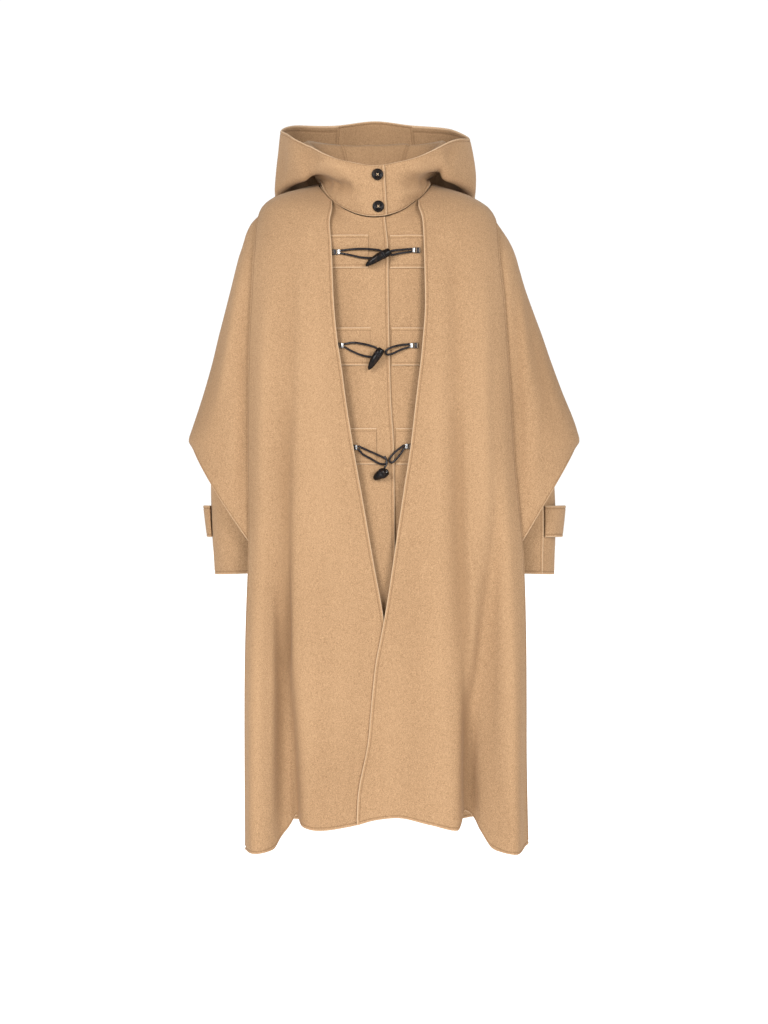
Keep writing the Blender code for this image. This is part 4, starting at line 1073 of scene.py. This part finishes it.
def noise(tree, vector, scale, detail=3.0, roughness=0.55):
    node = add(tree, "ShaderNodeTexNoise",
               {"Scale": scale, "Detail": detail, "Roughness": roughness})
    link(tree, vector, node.inputs["Vector"])
    return node.outputs["Fac"]


def feed(tree, sockets, values):
    """Each value into its socket: a link from another socket, or a constant."""
    for socket, value in zip(sockets, values):
        if hasattr(value, "is_linked"):
            link(tree, value, socket)
        else:
            socket.default_value = value


def math_node(tree, operation, *values):
    node = add(tree, "ShaderNodeMath", operation=operation)
    feed(tree, node.inputs, values)
    return node.outputs[0]


def ranged(tree, value, low, high, to_low, to_high):
    node = add(tree, "ShaderNodeMapRange",
               {"From Min": low, "From Max": high, "To Min": to_low, "To Max": to_high})
    link(tree, value, node.inputs["Value"])
    return node.outputs["Result"]


def mixed(tree, factor, a, b):
    """Colour between a and b; the sockets are those of a Mix node's colours."""
    node = add(tree, "ShaderNodeMix", data_type="RGBA")
    feed(tree, (node.inputs[0], node.inputs[6], node.inputs[7]), (factor, a, b))
    return node.outputs[2]


def bumped(tree, shader, height, strength, distance):
    node = add(tree, "ShaderNodeBump", {"Strength": strength, "Distance": distance})
    link(tree, height, node.inputs["Height"])
    link(tree, node.outputs["Normal"], shader.inputs["Normal"])


def stretched(tree, scale):
    """Object coordinates with another scale along each axis."""
    place = add(tree, "ShaderNodeTexCoord")
    mapping = add(tree, "ShaderNodeMapping", {"Scale": scale})
    link(tree, place.outputs["Object"], mapping.inputs["Vector"])
    return mapping.outputs["Vector"]


WOOL_DARK = (0.175, 0.097, 0.046, 1.0)
WOOL_LIGHT = (0.42, 0.264, 0.144, 1.0)
# Painted highlight colour for the turned rims of stitched edges.
WOOL_RIM_HIGHLIGHT = (0.50, 0.35, 0.225, 1.0)
# Painted shade colour for the sunken stitch groove.
WOOL_GROOVE_SHADE = (0.09, 0.042, 0.018, 1.0)
WOOL_THREAD = (0.27, 0.16, 0.08, 1.0)
STITCH_PITCH = 0.0034      # metres from one stitch to the next
STITCH_SHARE = 0.74        # of that, what the thread covers


def wool():
    """Brushed double-faced wool: clumped nap, painted rim highlights and a line of stitches."""
    material, tree, shader = material_start("camel_wool", Roughness=0.92, Sheen_Weight=0.12,
                                            Sheen_Roughness=0.45, Specular_IOR_Level=0.2,
                                            Sheen_Tint=(1.0, 0.86, 0.68, 1.0))
    place = stretched(tree, (1.0, 1.0, 0.55))
    broad = noise(tree, place, 7.0, 2.0)
    clumps = noise(tree, place, 260.0, 2.0)
    nap = noise(tree, stretched(tree, (1.0, 1.0, 0.8)), 760.0, 1.0, 0.5)
    fibre = noise(tree, stretched(tree, (1.0, 1.0, 0.22)), 2300.0, 2.0, 0.7)
    blend = math_node(tree, "MULTIPLY_ADD", clumps, 0.13, math_node(tree, "MULTIPLY", nap, 0.5))
    blend = math_node(tree, "MULTIPLY_ADD", fibre, 0.27, blend)
    blend = math_node(tree, "MULTIPLY_ADD", broad, 0.1, blend)
    shade = ranged(tree, blend, 0.3, 0.7, 0.0, 1.0)
    colour = mixed(tree, shade, WOOL_DARK, WOOL_LIGHT)
    # Painted shade and light by crease depth: darker in crease valleys, paler on their ridges. The
    # same attribute carries the painted shade under the hood, on wing tips, at hood sides and
    # inside the hood.
    hollow = add(tree, "ShaderNodeAttribute", attribute_name="relief").outputs["Fac"]
    sunk = ranged(tree, hollow, -0.010, 0.0, 0.46, 0.0)
    colour = mixed(tree, sunk, colour, WOOL_DARK)
    raised = ranged(tree, hollow, 0.0, 0.006, 0.0, 0.22)
    colour = mixed(tree, raised, colour, WOOL_LIGHT)
    rim = add(tree, "ShaderNodeAttribute", attribute_name="rim").outputs["Fac"]
    run = add(tree, "ShaderNodeAttribute", attribute_name="run").outputs["Fac"]
    # Painted highlight: paler within about 2 mm of each stitched edge, where the turned rim
    # catches the light.
    edge = ranged(tree, rim, 0.0007, 0.0022, 0.7, 0.0)
    colour = mixed(tree, edge, colour, WOOL_RIM_HIGHLIGHT)
    off_line = math_node(tree, "ABSOLUTE", math_node(tree, "SUBTRACT", rim, STITCH_LINE * MM))
    # Painted shade: a dark line in the stitch groove, STITCH_LINE in from the rim.
    groove_shade = ranged(tree, off_line, 0.0002, 0.0011, 0.5, 0.0)
    colour = mixed(tree, groove_shade, colour, WOOL_GROOVE_SHADE)
    beat = math_node(tree, "FRACT", math_node(tree, "DIVIDE", run, STITCH_PITCH))
    dash = math_node(tree, "LESS_THAN", beat, STITCH_SHARE)
    thread = math_node(tree, "MULTIPLY", dash, ranged(tree, off_line, 0.0001, 0.00042, 0.85, 0.0))
    colour = mixed(tree, thread, colour, WOOL_THREAD)
    link(tree, colour, shader.inputs["Base Color"])
    height = math_node(tree, "MULTIPLY_ADD", clumps, 0.6, math_node(tree, "MULTIPLY", nap, 0.8))
    height = math_node(tree, "MULTIPLY_ADD", fibre, 0.5, height)
    height = math_node(tree, "MULTIPLY_ADD", thread, 0.4, height)
    bumped(tree, shader, height, 0.45, 0.0009)
    return material


def grained(name, dark, light, pattern, spread_over=None, rough=None, fine=None, bump=None,
            **settings):
    """Material between two colours by a noise pattern, with its grain in roughness and bump.

    pattern and fine are a stretch along z, a scale, a detail and at times a roughness of the
    noise. fine, where it is given, drives the roughness, and else the pattern does.
    """
    material, tree, shader = material_start(name, **settings)
    tone = noise(tree, stretched(tree, (1.0, 1.0, pattern[0])), *pattern[1:])
    grain = noise(tree, stretched(tree, (1.0, 1.0, fine[0])), *fine[1:]) if fine else tone
    share = ranged(tree, tone, *spread_over, 0.0, 1.0) if spread_over else tone
    link(tree, mixed(tree, share, (*dark, 1.0), (*light, 1.0)), shader.inputs["Base Color"])
    if rough:
        link(tree, ranged(tree, grain, 0.3, 0.7, *rough), shader.inputs["Roughness"])
    if bump:
        source, strength, distance = bump
        bumped(tree, shader, {"tone": tone, "grain": grain}[source], strength, distance)
    return material


def leather(name, dark, light, roughness, coat):
    """Smooth dark leather with a fine grain and scuffed high places."""
    return grained(name, dark, light, (1.0, 160.0, 2.0), spread_over=(0.35, 0.7),
                   rough=(roughness, roughness + 0.14), fine=(1.0, 1500.0, 3.0),
                   bump=("grain", 0.25, 0.0003), Coat_Weight=coat, Coat_Roughness=0.12,
                   Specular_IOR_Level=0.2)


WOOL = wool()
CORD_LEATHER = leather("cord_leather", (0.005, 0.004, 0.005), (0.018, 0.014, 0.015), 0.2, 0.05)
TAB_LEATHER = leather("tab_leather", (0.01, 0.008, 0.008), (0.03, 0.023, 0.022), 0.36, 0.03)
# Polished near-black horn with faint brown streaks.
HORN = grained("dark_horn", (0.004, 0.0035, 0.0035), (0.026, 0.015, 0.01),
               (0.35, 260.0, 4.0, 0.65), spread_over=(0.45, 0.75), rough=(0.16, 0.3),
               fine=(1.0, 1600.0, 2.0), bump=("tone", 0.12, 0.0003), Coat_Weight=0.03,
               Coat_Roughness=0.06, Specular_IOR_Level=0.1)
# Brushed pale metal.
SILVER = grained("clasp_silver", (0.2, 0.2, 0.2), (0.5, 0.49, 0.48), (8.0, 420.0, 3.0),
                 rough=(0.22, 0.38), bump=("tone", 0.1, 0.0002), Metallic=1.0)
# Thread that holds the buttons.
THREAD = grained("button_thread", (0.34, 0.22, 0.12), (0.62, 0.45, 0.28), (1.0, 2600.0, 2.0),
                 bump=("tone", 0.4, 0.0003), Roughness=0.8)
# Plain pale floor with the faintest unevenness.
FLOOR_WHITE = grained("studio_floor", (0.93, 0.93, 0.93), (0.95, 0.95, 0.95), (1.0, 0.6, 2.0),
                      Roughness=0.9, Specular_IOR_Level=0.0, Emission_Strength=0.66,
                      Emission_Color=(1.0, 1.0, 1.0, 1.0))


# Camera, light and floor

EYE = (FIGURE_X * MM, -5.0, -0.546)
LENS = 100.45              # with a sensor 36 mm wide it frames the photo
SUNS = (("key", 2.6, 17.0, -32.0), ("fill", 2.2, 12.0, 30.0))   # strength, height and turn
SUN_ANGLE = 24.0
DIM = (0.24, 0.24, 0.245, 1.0)      # the studio's light from the front
BRIGHT = (1.06, 1.06, 1.06, 1.0)    # and from its pale wall and horizon
FLOOR_Z = -1.45
FLOOR_RADIUS = 70.0
FLOOR_SIDES = 96


def studio():
    scene = bpy.context.scene
    scene.view_settings.view_transform = "Standard"
    camera = bpy.data.cameras.new("camera")
    camera.lens = LENS
    camera.sensor_width = 36.0
    camera.sensor_fit = "AUTO"
    camera.clip_end = 200.0
    eye = bpy.data.objects.new("camera", camera)
    eye.location = EYE
    eye.rotation_euler = (math.radians(90.0), 0.0, 0.0)
    scene.collection.objects.link(eye)
    scene.camera = eye

    world = bpy.data.worlds.new("studio")
    scene.world = world
    world.use_nodes = True
    tree = world.node_tree
    background = tree.nodes["Background"]
    place = add(tree, "ShaderNodeTexCoord")
    parts = add(tree, "ShaderNodeSeparateXYZ")
    link(tree, place.outputs["Generated"], parts.inputs[0])
    far = ranged(tree, parts.outputs["Y"], 0.35, 0.93, 0.0, 1.0)
    level = ranged(tree, math_node(tree, "ABSOLUTE", parts.outputs["Z"]), 0.2, 0.5, 1.0, 0.0)
    bright = math_node(tree, "MAXIMUM", far, level)
    link(tree, mixed(tree, bright, DIM, BRIGHT), background.inputs["Color"])
    background.inputs["Strength"].default_value = 1.0

    for name, strength, height, turn in SUNS:
        sun = bpy.data.lights.new(name, "SUN")
        sun.energy = strength
        sun.angle = math.radians(SUN_ANGLE)
        lamp = bpy.data.objects.new(name, sun)
        lamp.rotation_euler = (math.radians(90.0 - height), 0.0, math.radians(turn))
        scene.collection.objects.link(lamp)

    middle = np.array((0.0, 0.0, FLOOR_Z))
    ring = circle(middle, FLOOR_RADIUS, FLOOR_SIDES, X_AXIS, Y_AXIS)
    mesh = bpy.data.meshes.new("floor")
    mesh.from_pydata([middle] + ring, [],
                     [(0, 1 + k, 1 + (k + 1) % FLOOR_SIDES) for k in range(FLOOR_SIDES)])
    mesh.materials.append(FLOOR_WHITE)
    floor = bpy.data.objects.new("floor", mesh)
    scene.collection.objects.link(floor)


# Small hard pieces

def joined(name, parts, materials, node):
    """One piece from (vertices, faces, index of its material) parts, in place of its node."""
    vertices, faces, slots = [], [], []
    for points, polygons, index in parts:
        start = len(vertices)
        vertices += [((x + FIGURE_X) * MM, y * MM, z * MM) for x, y, z in points]
        faces += [tuple(start + corner_index for corner_index in polygon) for polygon in polygons]
        slots += [index] * len(polygons)
    item = mesh_object(name, vertices, faces, materials)
    item.data.polygons.foreach_set("material_index", slots)
    item.data.set_sharp_from_angle(angle=math.radians(50.0))
    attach(item, "root")
    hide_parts(node)


def round_solid(route, radius, sides, index=0, closed=False):
    """Round solid along a route; radius is one number or one for each point."""
    points = [np.array(point, dtype=float) for point in route]
    count = len(points)
    radii = np.broadcast_to(radius, count)
    vertices = []
    reference = -Y_AXIS
    for i, point in enumerate(points):
        ahead = points[(i + 1) % count if closed else min(i + 1, count - 1)]
        ahead = ahead - points[i - 1 if closed else max(i - 1, 0)]
        ahead = ahead / np.linalg.norm(ahead)
        across = np.cross(ahead, reference)
        across = across / np.linalg.norm(across)
        reference = np.cross(across, ahead)
        vertices += circle(point, radii[i], sides, across, reference)
    return vertices, bands(count, sides, closed), index


def smooth_cord(node, side, route, count):
    points = smooth_route([on_coat(side, x, z, out + CORD_RAISE) for x, z, out in route], count)
    part = round_solid(points, CORD_RADIUS + CORD_RAISE, CORD_SIDES)
    joined(f"{node}_leather", [part], (CORD_LEATHER,), node)


def toggle_horn(row):
    """Horn toggle with a waist for its cord, a rounded butt and a drilled hole."""
    butt, tip, radius = TOGGLES[row]
    start, end = on_coat(-1, *butt), on_coat(-1, *tip)
    keys, shares = zip(*TOGGLE_SHAPE)

    def axis(at):
        return start + (end - start) * at + np.array(TOGGLE_BEND) * math.sin(math.pi * at)

    def girth(at):
        return radius * rounded(keys, shares, at)

    places = sorted(set(spread(0.0, 1.0, 41)) | {0.006, 0.015, 0.985, 0.994})
    radii = [girth(at) * (1.0 - WAIST_DEPTH * math.exp(-((at - TOGGLE_WAIST) / WAIST_WIDTH) ** 2))
             for at in places]
    ahead = (end - start) / np.linalg.norm(end - start)
    sideways = np.cross(ahead, Z_AXIS)
    sideways = sideways / np.linalg.norm(sideways)
    upward = np.cross(sideways, ahead)
    # Each ring round the toggle: its middle, its radius and points, then its own radius, sides
    # and material. They are the hole's eyelet, the butt's collar and two turns of the cord.
    waist = axis(TOGGLE_WAIST)
    wrap = girth(TOGGLE_WAIST) * (1.0 - WAIST_DEPTH) + 0.9
    rings = (
        (start - ahead * 0.05, 2.0, 20, 0.45, 1),
        (start + ahead * 0.3, radius * 0.74, 32, 0.9, 0),
        (waist - ahead * WRAP_PLACE, wrap, 32, WRAP_RADIUS, 2),
        (waist + ahead * WRAP_PLACE, wrap, 32, WRAP_RADIUS, 2),
    )
    parts = [round_solid([axis(at) for at in places], radii, 28)]
    for middle, reach, count, thickness, index in rings:
        ring = circle(middle, reach, count, sideways, upward)
        parts.append(round_solid(ring, thickness, 8, index, closed=True))
    if row == 3:
        stem = smooth_route([on_coat(-1, *place) for place in STEM_ROUTE], 24)
        parts.append(round_solid(stem, STEM_RADIUS, 12, 2))
    joined(f"toggle_{row}_horn", parts, (HORN, SILVER, CORD_LEATHER), f"toggle_{row}")


def plate_piece(node, side, middle, size, out, corner_radius, material, ridges=()):
    """Rounded plate on a coat front, with raised ridges across it."""
    x, z = middle
    width, height, thickness = size
    outline = []
    for cx, cz, start in ((1, 1, 0), (-1, 1, 90), (-1, -1, 180), (1, -1, 270)):
        for k in range(5):
            turn = math.radians(start + 22.5 * k)
            outline.append((cx * (width / 2.0 - corner_radius) + corner_radius * math.cos(turn),
                            cz * (height / 2.0 - corner_radius) + corner_radius * math.sin(turn)))
    # Levels of the plate from its back to its face, and how far each is drawn in.
    levels = ((0.0, 0.3), (0.3, 0.0), (thickness - 0.5, 0.0), (thickness - 0.15, 0.18),
              (thickness, 0.55))
    vertices = [on_coat(side, x + px * (1.0 - 2.0 * inset / width),
                        z + pz * (1.0 - 2.0 * inset / height), out + level)
                for level, inset in levels for px, pz in outline]
    parts = [(vertices, bands(len(levels), len(outline)), 0)]
    for place, radius, index in ridges:
        bar = [on_coat(side, x + place, z + height * share / 2.0, out + thickness - radius * 0.2)
               for share in spread(-0.86, 0.86, 7)]
        parts.append(round_solid(bar, radius, 8, index))
    joined(f"{node}_piece", parts, (material, THREAD, SILVER), node)


def button_piece(place):
    """Four-holed button with its crossed thread."""
    x, z, lift = HOOD_BUTTONS[place]
    low, high = HOOD_FRONT_Z
    azimuth = math.degrees(math.atan2(x - HOOD_X, HOOD_NECK_DEPTH))
    front = hood_point(azimuth, (z - low) / (high - low)) - Y_AXIS * lift
    vertices = []
    for radius, out in BUTTON_SHAPE:
        vertices += circle(front - Y_AXIS * out, radius, BUTTON_SIDES, X_AXIS, Z_AXIS)
    parts = [(vertices, bands(len(BUTTON_SHAPE), BUTTON_SIDES), 0)]
    holes = [front + np.array((sx * HOLE_PLACE, -HOLE_FRONT, sz * HOLE_PLACE))
             for sx, sz in ((1, 1), (-1, 1), (-1, -1), (1, -1))]
    for hole in holes:
        rim = circle(hole, HOLE_RADIUS, 14, X_AXIS, Z_AXIS)
        parts.append(round_solid(rim, 0.32, 6, closed=True))
    for a, b in ((holes[0], holes[2]), (holes[1], holes[3])):
        thread = [a + (b - a) * t - Y_AXIS * THREAD_RISE * math.sin(math.pi * t)
                  for t in spread(0.0, 1.0, 9)]
        parts.append(round_solid(thread, THREAD_RADIUS, 8, 1))
    joined(f"hood_button_{place}_piece", parts, (HORN, THREAD), f"hood_button_{place}")


# Building

def near_edges(points, distances):
    """Cape panels stay quiet beside their side edges, the neck and the wings' tucks."""
    left, right = distances[0], distances[1]
    side = smooth(4.0, 46.0, np.minimum(left, right))
    low = smooth(-640.0, -760.0, points[..., 2])
    return (side + (1.0 - side) * low * 0.6) * smooth(-14.0, -80.0, points[..., 2])


def body_shade(points):
    """Painted shade under the hood: darker towards the neck."""
    return -2.2 * smooth(-140.0, -45.0, points[..., 2])


def wing_shade(points):
    """Painted shade on the wings, darker towards their tips, where they turn from the light."""
    reach = np.abs(points[..., 0] + 8.0)
    return -2.8 * smooth(225.0, 290.0, reach) * smooth(-520.0, -440.0, points[..., 2])


def hood_shade(points):
    """Painted shade at the hood's sides, which turn from the light."""
    reach = np.abs(points[..., 0] - HOOD_X)
    return -2.8 * smooth(85.0, 140.0, reach)


def near_neck(points, distances):
    """The coat's fronts are flat at the neck seam."""
    return smooth(0.0, 60.0, distances[2])


def sleeve_fade(points, distances):
    """A sleeve is quiet at the armhole and under its cuff strap."""
    z = points[..., 2]
    quiet = 1.0 - 0.75 * smooth(-500.0, -530.0, z) * smooth(-610.0, -580.0, z)
    return smooth(20.0, 90.0, distances[2]) * quiet


VENT_PLACE = 0.155         # share of the way round the left sleeve
VENT_STEPS = (-0.02, -0.012, -0.007, -0.004, -0.0025, -0.0012, 0.0, 0.0012, 0.0035, 0.008)
VENT_HEIGHT = 2.2
VENT_REACH = 0.12          # the lap sinks back over this share of the way round
VENT_RISE_Z = (-380.0, -450.0)
VENT_STITCH_Z = -430.0     # the stitches start here
SLEEVE_GIRTH = 380.0


def vent(points, columns, rim):
    """The lap of the sleeve's vent: a step of one edge over the other, with its rim."""
    places = np.array(columns)
    z = points[..., 2]
    step = np.where(places < VENT_PLACE, 0.0, 1.0)
    step = step * (1.0 - smooth(VENT_PLACE, VENT_PLACE + VENT_REACH, places))
    shape = step[None, :] * smooth(*VENT_RISE_Z, z)
    past = (places - VENT_PLACE) * SLEEVE_GIRTH
    edge = np.where((past >= 0.0)[None, :] & (z < VENT_STITCH_Z), past[None, :], NO_RIM)
    return VENT_HEIGHT * shape, np.minimum(rim, edge)


HOOD_INSIDE_SHADE = -6.5         # painted shade: how much darker the hood's inner face is drawn
SIDES = ((-1, "right"), (1, "left"))


def build_cloth():
    cloth("cape_back", cape_back_face, ("lip", "lip", "bare", "hem"), (7.0, 9.0), BACK_CREASES,
          half=1, fade=near_edges, shade=body_shade)
    cloth("coat_back", coat_back_face, ("seam", "seam", "bare", "hem"), (9.0, 12.0), ())
    cloth("hood_centre", hood_centre_face, ("fell", "fell", "hem", "welt"), (5.0, 5.0),
          HOOD_CREASES, inside=HOOD_INSIDE_SHADE)
    for side, word in SIDES:
        cloth(f"cape_front_{word}", cape_front_face(side), ("hem", "lip", "bare", "hem"),
              (6.0, 8.0), FRONT_CREASES, half=-1,
              fade=near_edges, shade=body_shade)
        cloth(f"cape_wing_{word}", partial(wing_point, side), ("bare", "bare", "bare", "hem"),
              (7.0, 8.0), WING_CREASES,
              fade=near_edges, shade=wing_shade)
        cloth(f"coat_front_{word}", coat_front_face(side), ("hem", "seam", "bare", "hem"),
              (7.0, 9.0), COAT_CREASES, half=-1, fade=near_neck, shade=body_shade)
        vented = side > 0
        cloth(f"sleeve_{word}", partial(sleeve_point, side), (None, None, "seam", "hem"),
              (6.0, 7.0), SLEEVE_CREASES, closed=True, fade=sleeve_fade,
              extra=vent if vented else None,
              vent=[VENT_PLACE + step for step in VENT_STEPS] if vented else ())
        cloth(f"cuff_strap_{word}", strap_face(side), ("bare", "bare", "hem", "hem"), (4.0, 4.0),
              ())
        cloth(f"hood_side_{word}", hood_side_face(side), ("hem", "fell", "hem", "welt"),
              (5.0, 5.0), HOOD_CREASES,
              shade=hood_shade, inside=HOOD_INSIDE_SHADE)
        for row in (1, 2, 3):
            cloth(f"toggle_patch_{word}_{row}", patch_face(side, row),
                  ("tuck", "tuck", "patch", "patch"), (6.0, 6.0), (), wall=PATCH_WALL)


def build_fastenings():
    out = PATCH_LIFT + PATCH_WALL + 2.0 * SEAM_GAP
    for row in (1, 2, 3):
        smooth_cord(f"toggle_loop_right_{row}", -1, LOOP_ROUTES[row], LOOP_POINTS)
        smooth_cord(f"toggle_cord_left_{row}", 1, CORD_ROUTES[row], CORD_POINTS)
        toggle_horn(row)
        for side, word in SIDES:
            x = TOGGLE_ROWS.at(f"tab_{word}_x", row)
            z = TOGGLE_ROWS.at(f"tab_{word}_z", row)
            stitches = ((-side * 2.9, 0.3, 1), (side * 3.3, 0.3, 1))
            plate_piece(f"loop_tab_{word}_{row}", side, (x, z), TAB_SIZE, out, 0.8, TAB_LEATHER,
                        stitches)
            plate_piece(f"tab_clasp_{word}_{row}", side, (x - side * CLASP_OFFSET, z), CLASP_SIZE,
                        out, 0.9, SILVER, ((0.0, 0.35, 2),))
    for place in HOOD_BUTTONS:
        button_piece(place)


studio()
build_cloth()
build_fastenings()
